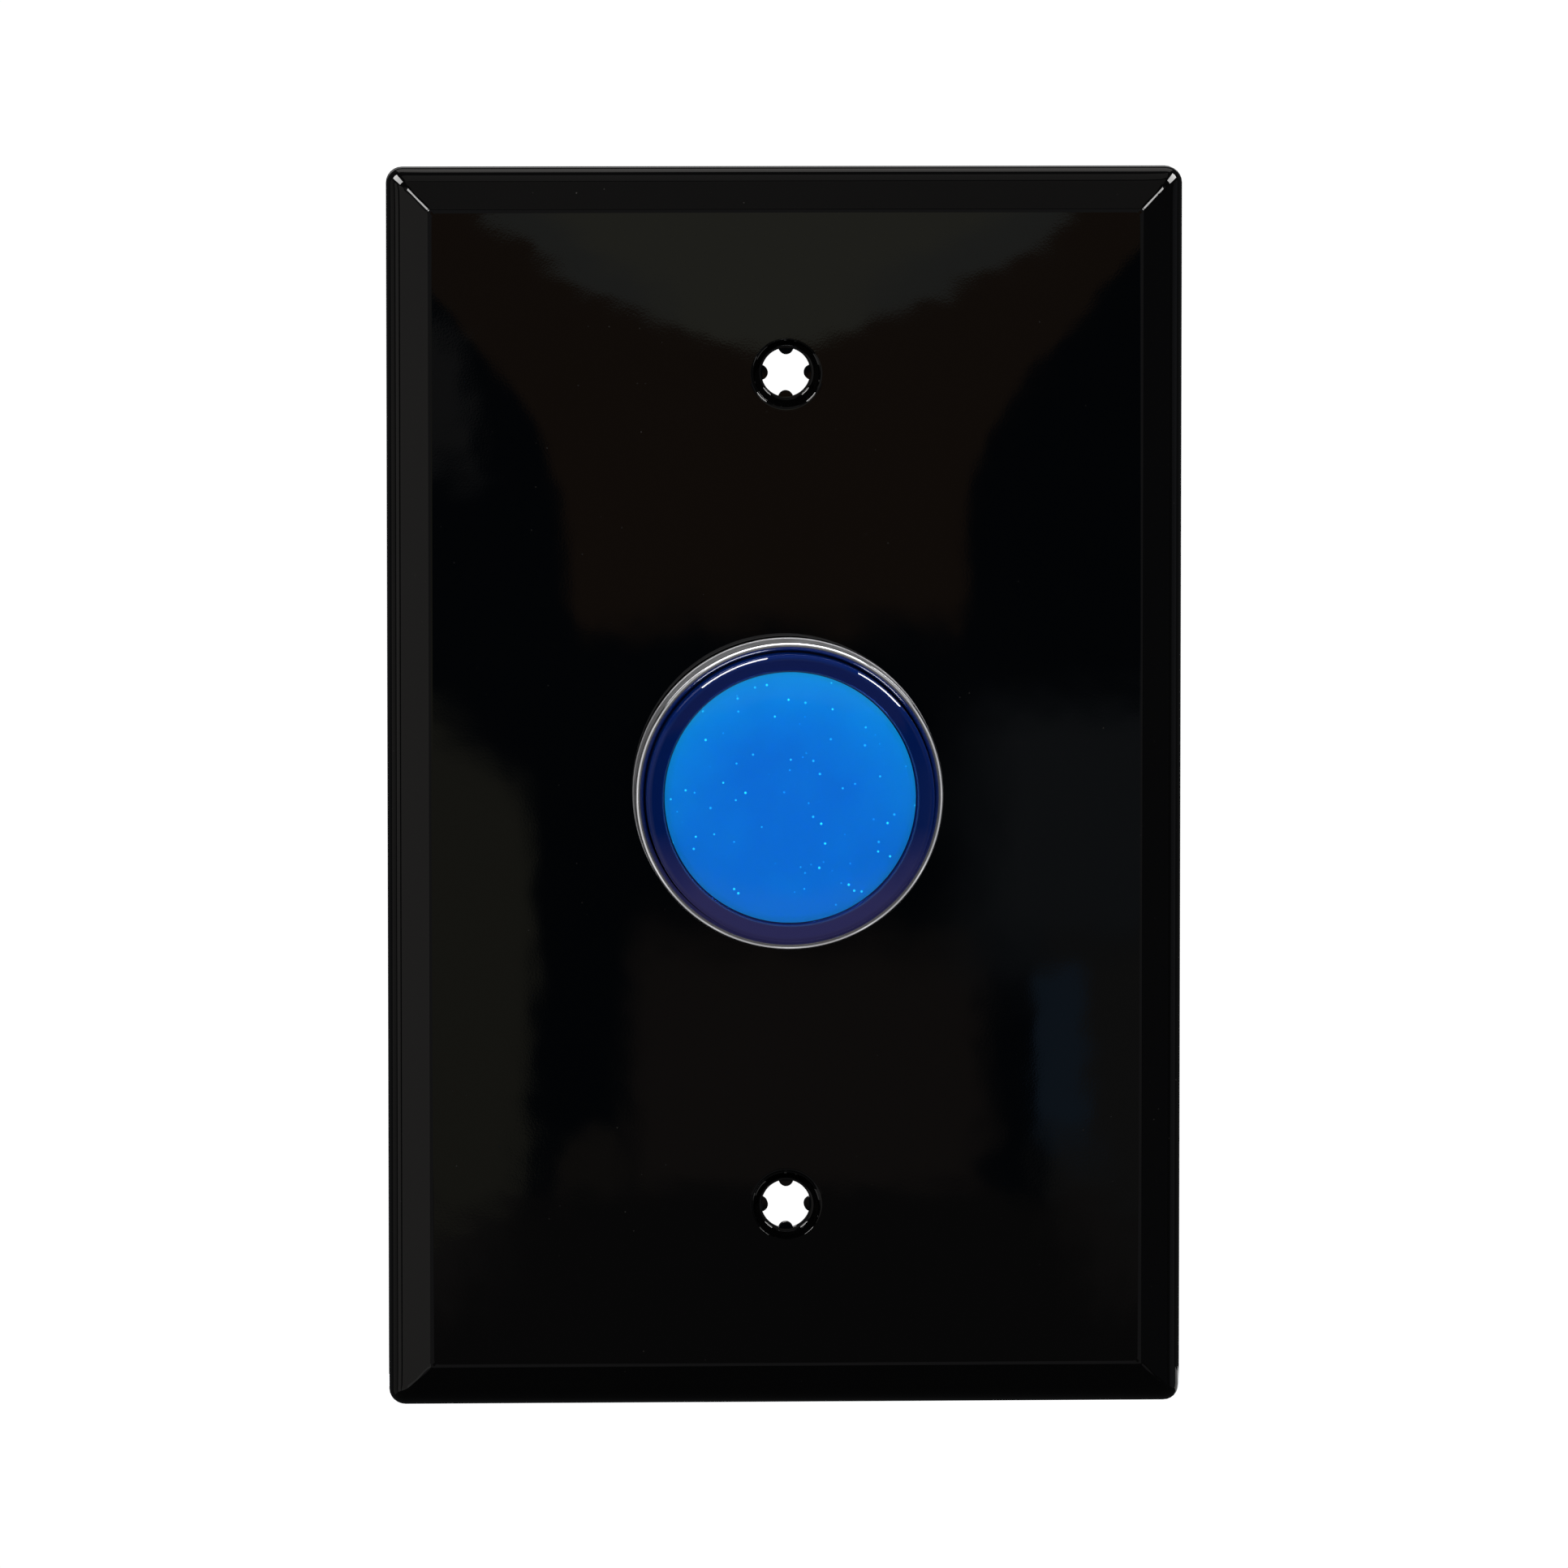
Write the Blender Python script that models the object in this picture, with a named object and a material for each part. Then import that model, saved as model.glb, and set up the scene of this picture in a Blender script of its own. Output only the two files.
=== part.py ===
"""Illuminated momentary push button on a single-gang wall plate.

Frame: +Z is up, the button's axis is the Y axis, the front faces -Y and the wall plane is y = 0.
The plate's back rim lies on the wall plane and the switch mechanism reaches into the wall box at +Y.
All lengths are in metres.
"""

import math

import bmesh
import bpy
from mathutils import Matrix, Vector

MM = 0.001

# Clearances
GAP = 0.3 * MM  # between neighbours that rest on each other or are fixed together
SLIDE_FIT = 0.3 * MM  # radial, plunger sleeve in barrel
PIN_FIT = 0.1 * MM  # radial, lever and ears on the pivot pin

# Wall plate
PLATE_WIDTH = 79.4 * MM
PLATE_HEIGHT = 124.0 * MM
PLATE_DEPTH = 6.9 * MM
PLATE_CORNER = 1.6 * MM
PLATE_WALL = 2.4 * MM
FACE_CROWN = 0.6 * MM
SIDE_HEIGHT = 2.3 * MM
ROLL_WIDTH = 2.0 * MM
ROLL_HEIGHT = 2.8 * MM
ROLL_TURN = math.radians(67.5)
BORDER_WIDTH = 4.2 * MM
RIM_WIDTH = 2.6 * MM
RECESS_DRAFT = 0.6 * MM

# Wall plate's screw holes
SCREW_SPACING = 83.3 * MM
SCREW_HOLE_RADIUS = 2.45 * MM
DISH_RADIUS = 3.5 * MM
DISH_DEPTH = 1.0 * MM
DISH_LEDGE = 0.2 * MM
NUB_RADIUS = 0.75 * MM
NUB_REACH = 0.65 * MM

# Lens, diffuser and bezel
TRAVEL = 2.2 * MM
LENS_RADIUS = 14.3 * MM
LENS_WALL = 1.5 * MM
LENS_FRONT = 1.6 * MM
LENS_EDGE = 0.5 * MM
LENS_OVERLAP = 0.8 * MM
LENS_OVERHANG = 1.1 * MM
DIFFUSER_THICKNESS = 1.0 * MM
BEZEL_FIT = 0.4 * MM
BEZEL_WALL = 0.75 * MM
BEZEL_BASE = 0.8 * MM
GASKET_THICKNESS = 0.8 * MM

# Barrel and what clamps it to the plate
BARREL_WALL = 1.4 * MM
FLANGE_THICKNESS = 1.0 * MM
BARREL_FLOOR = 1.6 * MM
THREAD_SPARE = 3.1 * MM
THREAD_PITCH = 1.5 * MM
THREAD_DEPTH = 0.6 * MM
THREAD_FLANK = 0.35  # share of the pitch
WASHER_WIDTH = 3.0 * MM
WASHER_THICKNESS = 0.8 * MM
NUT_WALL = 2.0 * MM
NUT_THICKNESS = 5.0 * MM

# Plunger sleeve, its switch leg and the return spring
SLEEVE_WALL = 1.3 * MM
SLEEVE_HEAD = 0.7 * MM
SLEEVE_STOP_ROOM = 1.2 * MM
WEB_SETBACK = 10.0 * MM
WEB_THICKNESS = 1.4 * MM
LEG_ANGLE = math.radians(-30.0)
LEG_SIZE = 2.0 * MM
LEG_INSET = 0.1 * MM
LEG_ROOT = 4.0 * MM
SPRING_SEAT = 1.4 * MM
SPRING_WIRE_RADIUS = 0.4 * MM
SPRING_TURNS = 5

# Lamp
LAMP_LENS_RADIUS = 3.6 * MM
LAMP_LENS_LENGTH = 6.3 * MM
LAMP_BASE_RADIUS = 3.8 * MM
LAMP_BASE_LENGTH = 7.2 * MM
LAMP_BASE_PROUD = 0.5 * MM
HOLDER_WALL = 0.9 * MM
HOLDER_SETBACK = 0.6 * MM
LUG_WIDTH = 6.0 * MM
LUG_REACH = 8.0 * MM
LUG_THICKNESS = 1.5 * MM
LAMP_BLADE_OFFSET = 2.0 * MM
LAMP_BLADE_THICKNESS = 0.5 * MM
LAMP_BLADE_WIDTH = 2.4 * MM
LAMP_BLADE_PROUD = 5.5 * MM

# Switch frame
FRAME_SKIRT_WALL = 1.3 * MM
FRAME_BASE = 1.5 * MM
FRAME_SKIRT_LENGTH = 4.8 * MM
FRAME_SKIRT_ROOM = 1.2 * MM
FRAME_ARM_THICKNESS = 1.5 * MM
FRAME_ARM_HALF_HEIGHT = 9.0 * MM
FRAME_ARM_SHORTER = 1.2 * MM

# Snap switch
CASE_WIDTH = 6.0 * MM
CASE_SHOULDER = 0.4 * MM
CASE_WALL = 1.0 * MM
CASE_REAR_WALL = 4.4 * MM
CAVITY_SLACK = 1.2 * MM
COVER_THICKNESS = 0.7 * MM
SCREW_PITCH = 9.5 * MM
SCREW_RADIUS = 1.0 * MM
SCREW_HEAD_RADIUS = 1.9 * MM
SCREW_HEAD_HEIGHT = 1.2 * MM
LEVER_WIDTH = 3.0 * MM
LEVER_THICKNESS = 0.4 * MM
LEVER_ARM = 13.4 * MM
LEVER_OVERHANG = 1.6 * MM
LEVER_PRESSED_RISE = 0.1 * MM
LEVER_TIP_ROOM = 0.8 * MM
PIVOT_PIN_RADIUS = 0.4 * MM
KNUCKLE_WALL = 0.35 * MM
EAR_HALF_HEIGHT = 1.1 * MM
EAR_PROUD = 0.5 * MM
BUTTON_ARM = 5.6 * MM
BUTTON_WIDTH = 1.2 * MM
BUTTON_HEIGHT = 2.0 * MM
BUTTON_COLLAR = 0.75 * MM
COLLAR_THICKNESS = 0.3 * MM
STRIP_THICKNESS = 0.4 * MM
STRIP_WIDTH = 3.0 * MM
BLADE_THICKNESS = 0.25 * MM
RIVET_RADIUS = 0.8 * MM
RIVET_HEIGHT = 0.5 * MM
BLADE_TIP_TRAVEL = 0.6 * MM
PAD_REACH = 2.2 * MM
TERMINAL_PROUD = 4.5 * MM

# Facets
BIG_ROUND = 48
SMALL_ROUND = 24
PIN_ROUND = 12
WIRE_SIDES = 6
SPRING_STEPS = 18
EDGE_STEPS = 4
FACE_COLUMNS = 8
FACE_ROWS = 12
SHARP_ANGLE = math.radians(30.0)
EMPTY_SIZE = 5.0 * MM
MERGE = 0.001 * MM
CUT = 1.0 * MM  # how far a cutter runs past the wall that it cuts

# Stations along Y, from the plate's face forward and then back into the wall box
PLATE_FACE = -PLATE_DEPTH
PLATE_CEILING = PLATE_FACE + PLATE_WALL
GASKET_BACK = PLATE_FACE - GAP
GASKET_FRONT = GASKET_BACK - GASKET_THICKNESS
BEZEL_BACK = GASKET_FRONT - GAP
BEZEL_STEP = BEZEL_BACK - BEZEL_BASE
FLANGE_BACK = BEZEL_STEP - GAP
FLANGE_FRONT = FLANGE_BACK - FLANGE_THICKNESS
LENS_BACK = FLANGE_FRONT - GAP - TRAVEL
BEZEL_LIP = LENS_BACK - LENS_OVERLAP
SLEEVE_FRONT = LENS_BACK - SLEEVE_HEAD
DIFFUSER_BACK = SLEEVE_FRONT - GAP
DIFFUSER_FRONT = DIFFUSER_BACK - DIFFUSER_THICKNESS
LENS_CEILING = DIFFUSER_FRONT - GAP
LENS_FACE = LENS_CEILING - LENS_FRONT
WEB_FRONT = SLEEVE_FRONT + WEB_SETBACK
WEB_BACK = WEB_FRONT + WEB_THICKNESS
WASHER_FRONT = PLATE_CEILING + GAP
WASHER_BACK = WASHER_FRONT + WASHER_THICKNESS
NUT_FRONT = WASHER_BACK + GAP
NUT_BACK = NUT_FRONT + NUT_THICKNESS
THREAD_END = NUT_BACK + THREAD_SPARE
BARREL_REAR = THREAD_END + FRAME_SKIRT_ROOM + FRAME_SKIRT_LENGTH
BARREL_FLOOR_FRONT = BARREL_REAR - BARREL_FLOOR
SLEEVE_REAR = BARREL_FLOOR_FRONT - TRAVEL - SLEEVE_STOP_ROOM
FRAME_FRONT = BARREL_REAR + GAP
FRAME_BACK = FRAME_FRONT + FRAME_BASE
LUG_FRONT = FRAME_BACK + GAP
LUG_BACK = LUG_FRONT + LUG_THICKNESS
HOLDER_FRONT = WEB_BACK + TRAVEL + HOLDER_SETBACK
LAMP_BASE_FRONT = HOLDER_FRONT - LAMP_BASE_PROUD
LAMP_BASE_BACK = LAMP_BASE_FRONT + LAMP_BASE_LENGTH
LAMP_LENS_BACK = LAMP_BASE_FRONT - GAP
SOCKET_FLOOR = LAMP_BASE_BACK + GAP

# Radii that follow from the pieces they fit
BARREL_RADIUS = LENS_RADIUS - LENS_OVERHANG
BARREL_BORE = BARREL_RADIUS - BARREL_WALL
BARREL_ROOT = BARREL_RADIUS - THREAD_DEPTH
PLATE_HOLE_RADIUS = BARREL_RADIUS + GAP
BEZEL_INNER = LENS_RADIUS + BEZEL_FIT
BEZEL_OUTER = BEZEL_INNER + BEZEL_WALL
FLANGE_RADIUS = BEZEL_INNER - GAP
WASHER_RADIUS = PLATE_HOLE_RADIUS + WASHER_WIDTH
NUT_BORE = BARREL_RADIUS + GAP
NUT_CORNER_RADIUS = (NUT_BORE + NUT_WALL) / math.cos(math.pi / 6)
LENS_BORE = LENS_RADIUS - LENS_WALL
DIFFUSER_RADIUS = LENS_BORE - GAP
SLEEVE_RADIUS = BARREL_BORE - SLIDE_FIT
SLEEVE_BORE = SLEEVE_RADIUS - SLEEVE_WALL
SKIRT_INNER = BARREL_ROOT + GAP
FRAME_RADIUS = SKIRT_INNER + FRAME_SKIRT_WALL
SOCKET_RADIUS = LAMP_BASE_RADIUS + GAP
HOLDER_RADIUS = SOCKET_RADIUS + HOLDER_WALL
HOLDER_HOLE_RADIUS = HOLDER_RADIUS + GAP
KNUCKLE_BORE = PIVOT_PIN_RADIUS + PIN_FIT
KNUCKLE_RADIUS = KNUCKLE_BORE + KNUCKLE_WALL
SCREW_CLEARANCE_RADIUS = SCREW_RADIUS + GAP

# The leg stands just inside the sleeve's skin, the spring inside the leg, and the snap switch behind both
LEG_RADIUS = SLEEVE_RADIUS - LEG_INSET - LEG_SIZE / math.sqrt(2)
LEG_X = LEG_RADIUS * math.cos(LEG_ANGLE)
LEG_Z = LEG_RADIUS * math.sin(LEG_ANGLE)
LEG_INNER_RADIUS = math.hypot(abs(LEG_X) - LEG_SIZE / 2, abs(LEG_Z) - LEG_SIZE / 2)
SPRING_RADIUS = LEG_INNER_RADIUS - GAP - SPRING_WIRE_RADIUS
WEB_HOLE_RADIUS = SPRING_RADIUS - SPRING_SEAT
PIVOT_Z = LEG_Z + LEVER_ARM
LEVER_LENGTH = LEVER_ARM + LEVER_OVERHANG
LEVER_PRESSED_ANGLE = math.atan(LEVER_PRESSED_RISE / LEVER_ARM)
LEVER_REST_ANGLE = math.atan((LEVER_PRESSED_RISE + TRAVEL) / LEVER_ARM)
PIVOT_Y = FRAME_BACK + LEVER_TIP_ROOM + LEVER_THICKNESS + LEVER_LENGTH * math.sin(LEVER_REST_ANGLE)
LEG_TIP = (
    PIVOT_Y
    - LEVER_ARM * math.tan(LEVER_REST_ANGLE)
    - LEVER_THICKNESS / 2 / math.cos(LEVER_REST_ANGLE)
    - GAP
)
CASE_FRONT = PIVOT_Y + KNUCKLE_RADIUS + GAP
CASE_TOP = PIVOT_Z + EAR_HALF_HEIGHT + CASE_SHOULDER
CASE_LEFT = LEG_X - CASE_WIDTH / 2 - GAP
CASE_RIGHT = CASE_LEFT + CASE_WIDTH
COVER_LEFT = CASE_RIGHT + GAP
COVER_RIGHT = COVER_LEFT + COVER_THICKNESS
ARM_LEFT = COVER_RIGHT + GAP
ARM_RIGHT = ARM_LEFT + FRAME_ARM_THICKNESS
HOLDER_REAR = CASE_FRONT - GAP
BUTTON_Z = PIVOT_Z - BUTTON_ARM
BUTTON_TIP = (
    PIVOT_Y
    - BUTTON_ARM * math.tan(LEVER_REST_ANGLE)
    + LEVER_THICKNESS / 2 / math.cos(LEVER_REST_ANGLE)
    + GAP
)

# Inside the snap switch
CAVITY_FRONT = CASE_FRONT + CASE_WALL
CAVITY_TOP = CASE_TOP - CASE_WALL
PAD_FRONT = CAVITY_FRONT + GAP
PAD_BACK = PAD_FRONT + STRIP_THICKNESS
BLADE_FRONT = PAD_BACK + GAP + RIVET_HEIGHT
BLADE_BACK = BLADE_FRONT + BLADE_THICKNESS
BLADE_TIP_Z = -(CAVITY_TOP - 2 * GAP - STRIP_THICKNESS)
BLADE_HINGE_Z = CAVITY_TOP - GAP - STRIP_THICKNESS - PAD_REACH / 2
LOWER_PAD_FRONT = BLADE_BACK + RIVET_HEIGHT + GAP + BLADE_TIP_TRAVEL
LOWER_PAD_BACK = LOWER_PAD_FRONT + STRIP_THICKNESS
CAVITY_BACK = LOWER_PAD_BACK + CAVITY_SLACK
CASE_BACK = CAVITY_BACK + CASE_REAR_WALL
SCREW_AXIS_Y = (CAVITY_BACK + CASE_BACK) / 2

# Finishes: colour, roughness, metallic
FINISHES = {
    "plate_black": ((0.008, 0.008, 0.009), 0.12, 0.0),
    "moulded_black": ((0.012, 0.012, 0.013), 0.35, 0.0),
    "bright_metal": ((0.62, 0.62, 0.64), 0.12, 1.0),
    "lens_blue": ((0.0, 0.06, 0.45), 0.05, 0.0),
    "diffuser_blue": ((0.0, 0.15, 0.67), 0.4, 0.0),
    "moulded_white": ((0.78, 0.78, 0.75), 0.4, 0.0),
    "gasket_rubber": ((0.02, 0.02, 0.02), 0.8, 0.0),
    "zinc_steel": ((0.5, 0.51, 0.52), 0.3, 1.0),
    "spring_steel": ((0.42, 0.42, 0.43), 0.28, 1.0),
    "lamp_clear": ((0.75, 0.82, 0.9), 0.08, 0.0),
    "tinned_brass": ((0.66, 0.55, 0.34), 0.3, 1.0),
    "copper_alloy": ((0.72, 0.42, 0.24), 0.3, 1.0),
    "switch_black": ((0.02, 0.02, 0.022), 0.45, 0.0),
    "switch_grey": ((0.22, 0.22, 0.23), 0.45, 0.0),
    "switch_red": ((0.55, 0.03, 0.02), 0.35, 0.0),
}


def clear_scene():
    for found in list(bpy.data.objects):
        bpy.data.objects.remove(found, do_unlink=True)


def finish_material(name):
    """One Principled material for each finish, made the first time it is asked for."""
    material = bpy.data.materials.get(name)
    if material:
        return material
    colour, roughness, metallic = FINISHES[name]
    material = bpy.data.materials.new(name)
    material.use_nodes = True
    shader = material.node_tree.nodes["Principled BSDF"]
    shader.inputs["Base Color"].default_value = (*colour, 1.0)
    shader.inputs["Roughness"].default_value = roughness
    shader.inputs["Metallic"].default_value = metallic
    material.diffuse_color = (*colour, 1.0)
    return material


def body_empty(name, place=(0.0, 0.0, 0.0)):
    """An empty on a body's joint axis. The body's pieces are its children."""
    empty = bpy.data.objects.new(name, None)
    empty.location = place
    empty.empty_display_size = EMPTY_SIZE
    bpy.context.scene.collection.objects.link(empty)
    return empty


def new_object(name, mesh_maker, finish, body=None, turn=0.0):
    """A named object from a bmesh built round the body's own origin, turned about X by an angle."""
    maker = bmesh.new()
    mesh_maker(maker)
    bmesh.ops.remove_doubles(maker, verts=maker.verts, dist=MERGE)
    bmesh.ops.recalc_face_normals(maker, faces=maker.faces)
    mesh = bpy.data.meshes.new(name)
    maker.to_mesh(mesh)
    maker.free()
    mesh.shade_smooth()
    mesh.set_sharp_from_angle(angle=SHARP_ANGLE)
    made = bpy.data.objects.new(name, mesh)
    bpy.context.scene.collection.objects.link(made)
    made.rotation_euler.x = turn
    made.parent = body
    if finish:
        mesh.materials.append(finish_material(finish))
    return made


def helper(name, mesh_maker, body=None, turn=0.0):
    """A hidden object that a Boolean uses."""
    made = new_object(name, mesh_maker, None, body, turn)
    made.hide_render = True
    made.display_type = "WIRE"
    return made


def combine(target, operation, tool):
    modifier = target.modifiers.new(f"{operation.lower()}_{tool.name}", "BOOLEAN")
    modifier.operation = operation
    modifier.solver = "EXACT"
    modifier.object = tool


def cut(target, *tools):
    for tool in tools:
        combine(target, "DIFFERENCE", tool)


def join(target, *tools):
    for tool in tools:
        combine(target, "UNION", tool)


def turned(profile, sides, axis="Y", centre=(0.0, 0.0, 0.0)):
    """A closed (radius, station) outline revolved about a line along Y or X through centre.

    It has a flat, not a corner, where it crosses each axis, so its corners miss the plate's middle lines.
    """

    def point(radius, station, angle):
        across, up = radius * math.cos(angle), radius * math.sin(angle)
        local = (across, station, up) if axis == "Y" else (station, across, up)
        return Vector(local) + Vector(centre)

    def build(maker):
        rings = []
        for side in range(sides):
            angle = 2 * math.pi * (side + 0.5) / sides
            rings.append([maker.verts.new(point(r, s, angle)) for r, s in profile])
        for side in range(sides):
            here, after = rings[side], rings[(side + 1) % sides]
            for start in range(len(profile)):
                end = (start + 1) % len(profile)
                maker.faces.new((here[start], here[end], after[end], after[start]))
        bmesh.ops.remove_doubles(maker, verts=maker.verts, dist=MERGE)
        bmesh.ops.dissolve_degenerate(maker, edges=maker.edges, dist=MERGE)

    return build


def ring_profile(inner, outer, start, end):
    return [(inner, start), (outer, start), (outer, end), (inner, end)]


def solid_profile(radius, start, end):
    return ring_profile(0.0, radius, start, end)


def block(low, high):
    """A rectangular block between two corners."""

    def build(maker):
        low_corner, high_corner = Vector(low), Vector(high)
        size = high_corner - low_corner
        middle = (low_corner + high_corner) / 2
        placed = Matrix.Translation(middle) @ Matrix.Diagonal((*size, 1.0))
        bmesh.ops.create_cube(maker, size=1.0, matrix=placed)

    return build


def prism(outline, start, end):
    """A closed (x, z) outline extruded along Y."""

    def build(maker):
        front = [maker.verts.new((x, start, z)) for x, z in outline]
        back = [maker.verts.new((x, end, z)) for x, z in outline]
        maker.faces.new(front)
        maker.faces.new(back[::-1])
        for here in range(len(outline)):
            after = (here + 1) % len(outline)
            maker.faces.new((front[here], back[here], back[after], front[after]))

    return build


def arc(centre, radius, start, end, steps):
    """Points along a circular arc from one angle to another, in degrees."""
    angles = (math.radians(start + (end - start) * step / steps) for step in range(steps + 1))
    return [(centre[0] + radius * math.cos(a), centre[1] + radius * math.sin(a)) for a in angles]


def plate_loop(inset, height):
    """Points round the plate at one inset from its edge: corner arcs joined by evenly divided sides."""
    half_width = PLATE_WIDTH / 2 - inset
    half_height = PLATE_HEIGHT / 2 - inset
    corner = max(PLATE_CORNER - inset, 0.0)
    points = []
    corners = ((1, 1, 0), (-1, 1, 90), (-1, -1, 180), (1, -1, 270))
    for number, (right, up, start) in enumerate(corners):
        centre = (right * (half_width - corner), up * (half_height - corner))
        points += arc(centre, corner, start, start + 90, EDGE_STEPS)
        divisions = FACE_COLUMNS if number % 2 == 0 else FACE_ROWS
        right_after, up_after, start_after = corners[(number + 1) % 4]
        centre_after = (right_after * (half_width - corner), up_after * (half_height - corner))
        first = points[-1]
        last = arc(centre_after, corner, start_after, start_after + 90, EDGE_STEPS)[0]
        for step in range(1, divisions):
            share = step / divisions
            points.append(tuple(a + (b - a) * share for a, b in zip(first, last)))
    return [(x, -height, z) for x, z in points]


def face_height(x, z):
    """Height of the crowned face over the wall plane."""
    across = x / (PLATE_WIDTH / 2 - BORDER_WIDTH)
    up = z / (PLATE_HEIGHT / 2 - BORDER_WIDTH)
    return PLATE_DEPTH - FACE_CROWN * (1 - (1 - across**2) * (1 - up**2))


def border_sections():
    """(inset, height) steps of the plate's edge, from the wall up over the roll to the face's crease."""
    sections = [(0.0, 0.0)]
    for step in range(EDGE_STEPS + 1):
        angle = ROLL_TURN * step / EDGE_STEPS
        inset = ROLL_WIDTH * (1 - math.cos(angle)) / (1 - math.cos(ROLL_TURN))
        height = SIDE_HEIGHT + ROLL_HEIGHT * math.sin(angle) / math.sin(ROLL_TURN)
        sections.append((inset, height))
    sections.append((BORDER_WIDTH, PLATE_DEPTH - FACE_CROWN))
    return sections


def plate_sides(maker):
    """The recess in the plate's back, its rim, and the plate's edge as far as the face's crease."""
    sections = [(RIM_WIDTH + RECESS_DRAFT, -PLATE_CEILING), (RIM_WIDTH, 0.0), *border_sections()]
    loops = []
    for inset, height in sections:
        loops.append([maker.verts.new(point) for point in plate_loop(inset, height)])
    for inner, outer in zip(loops, loops[1:]):
        for here in range(len(inner)):
            after = (here + 1) % len(inner)
            maker.faces.new((inner[here], inner[after], outer[after], outer[here]))
    maker.faces.new(loops[0])


def plate_face(maker):
    """The crowned face, divided like the plate's sides so that the two meet point to point."""
    half_width = PLATE_WIDTH / 2 - BORDER_WIDTH
    half_height = PLATE_HEIGHT / 2 - BORDER_WIDTH
    grid = {}
    for column in range(FACE_COLUMNS + 1):
        for row in range(FACE_ROWS + 1):
            x = half_width * (2 * column / FACE_COLUMNS - 1)
            z = half_height * (2 * row / FACE_ROWS - 1)
            grid[column, row] = maker.verts.new((x, -face_height(x, z), z))
    for column in range(FACE_COLUMNS):
        for row in range(FACE_ROWS):
            corners = ((column, row), (column + 1, row), (column + 1, row + 1), (column, row + 1))
            maker.faces.new([grid[corner] for corner in corners])


def plate_shell(maker):
    plate_sides(maker)
    plate_face(maker)
    bmesh.ops.remove_doubles(maker, verts=maker.verts, dist=MERGE)
    bmesh.ops.dissolve_degenerate(maker, edges=maker.edges, dist=MERGE)


def screw_hole_outline(centre_z):
    """A round hole with a half-round nub reaching in at each quarter."""
    hole = SCREW_HOLE_RADIUS
    nub = hole - NUB_REACH + NUB_RADIUS
    hole_angle = math.acos((nub**2 + hole**2 - NUB_RADIUS**2) / (2 * nub * hole))
    nub_angle = math.atan2(hole * math.sin(hole_angle), hole * math.cos(hole_angle) - nub)
    hole_turn, nub_turn = math.degrees(hole_angle), math.degrees(nub_angle)
    outline = []
    for quarter in range(4):
        turn = 90.0 * quarter
        centre = (nub * math.cos(math.radians(turn)), nub * math.sin(math.radians(turn)))
        outline += arc(centre, NUB_RADIUS, turn + 360 - nub_turn, turn + nub_turn, EDGE_STEPS)
        bend = arc((0.0, 0.0), hole, turn + hole_turn, turn + 90 - hole_turn, EDGE_STEPS)
        outline += bend[1:-1]
    return [(x, z + centre_z) for x, z in outline]


def screw_hole_cutters(end, body):
    """The dish and the hole for the plate screw at one end, "upper" or "lower"."""
    centre_z = SCREW_SPACING / 2 if end == "upper" else -SCREW_SPACING / 2
    surface = -face_height(0.0, centre_z)
    bottom_radius = SCREW_HOLE_RADIUS + DISH_LEDGE
    slope = (DISH_RADIUS - bottom_radius) / DISH_DEPTH
    dish = [
        (0.0, surface - CUT),
        (DISH_RADIUS + slope * CUT, surface - CUT),
        (bottom_radius, surface + DISH_DEPTH),
        (0.0, surface + DISH_DEPTH),
    ]
    dish_shape = turned(dish, SMALL_ROUND, centre=(0.0, 0.0, centre_z))
    hole_shape = prism(screw_hole_outline(centre_z), PLATE_FACE - CUT, CUT)
    return (
        helper(f"{end}_dish_cutter", dish_shape, body),
        helper(f"{end}_hole_cutter", hole_shape, body),
    )


def make_wall_plate(body):
    plate = new_object("wall_plate", plate_shell, "plate_black", body)
    bore = turned(solid_profile(PLATE_HOLE_RADIUS, PLATE_FACE - CUT, CUT), BIG_ROUND)
    cut(plate, helper("plate_bore_cutter", bore, body))
    cut(plate, *screw_hole_cutters("upper", body))
    cut(plate, *screw_hole_cutters("lower", body))


def make_panel_gasket(body):
    profile = ring_profile(PLATE_HOLE_RADIUS, BEZEL_OUTER - GAP, GASKET_FRONT, GASKET_BACK)
    new_object("panel_gasket", turned(profile, BIG_ROUND), "gasket_rubber", body)


def make_bezel_ring(body):
    lip = BEZEL_WALL / 2
    profile = [
        (PLATE_HOLE_RADIUS, BEZEL_BACK),
        (BEZEL_OUTER, BEZEL_BACK),
        *arc((BEZEL_OUTER - lip, BEZEL_LIP + lip), lip, 0, -180, EDGE_STEPS),
        (BEZEL_INNER, BEZEL_STEP),
        (PLATE_HOLE_RADIUS, BEZEL_STEP),
    ]
    new_object("bezel_ring", turned(profile, BIG_ROUND), "bright_metal", body)


def thread_profile():
    """The barrel's outside: ridges as far as the nut needs, then a plain tail."""
    points = []
    station = WASHER_FRONT
    while station + THREAD_PITCH <= THREAD_END:
        points += [
            (BARREL_ROOT, station),
            (BARREL_RADIUS, station + THREAD_PITCH * THREAD_FLANK),
            (BARREL_RADIUS, station + THREAD_PITCH * (1 - THREAD_FLANK)),
        ]
        station += THREAD_PITCH
    return points + [(BARREL_ROOT, station)]


def leg_block(clearance, start, end):
    """The square leg, or with a clearance the slot that it passes through."""
    half = LEG_SIZE / 2 + clearance
    return block((LEG_X - half, start, LEG_Z - half), (LEG_X + half, end, LEG_Z + half))


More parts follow.
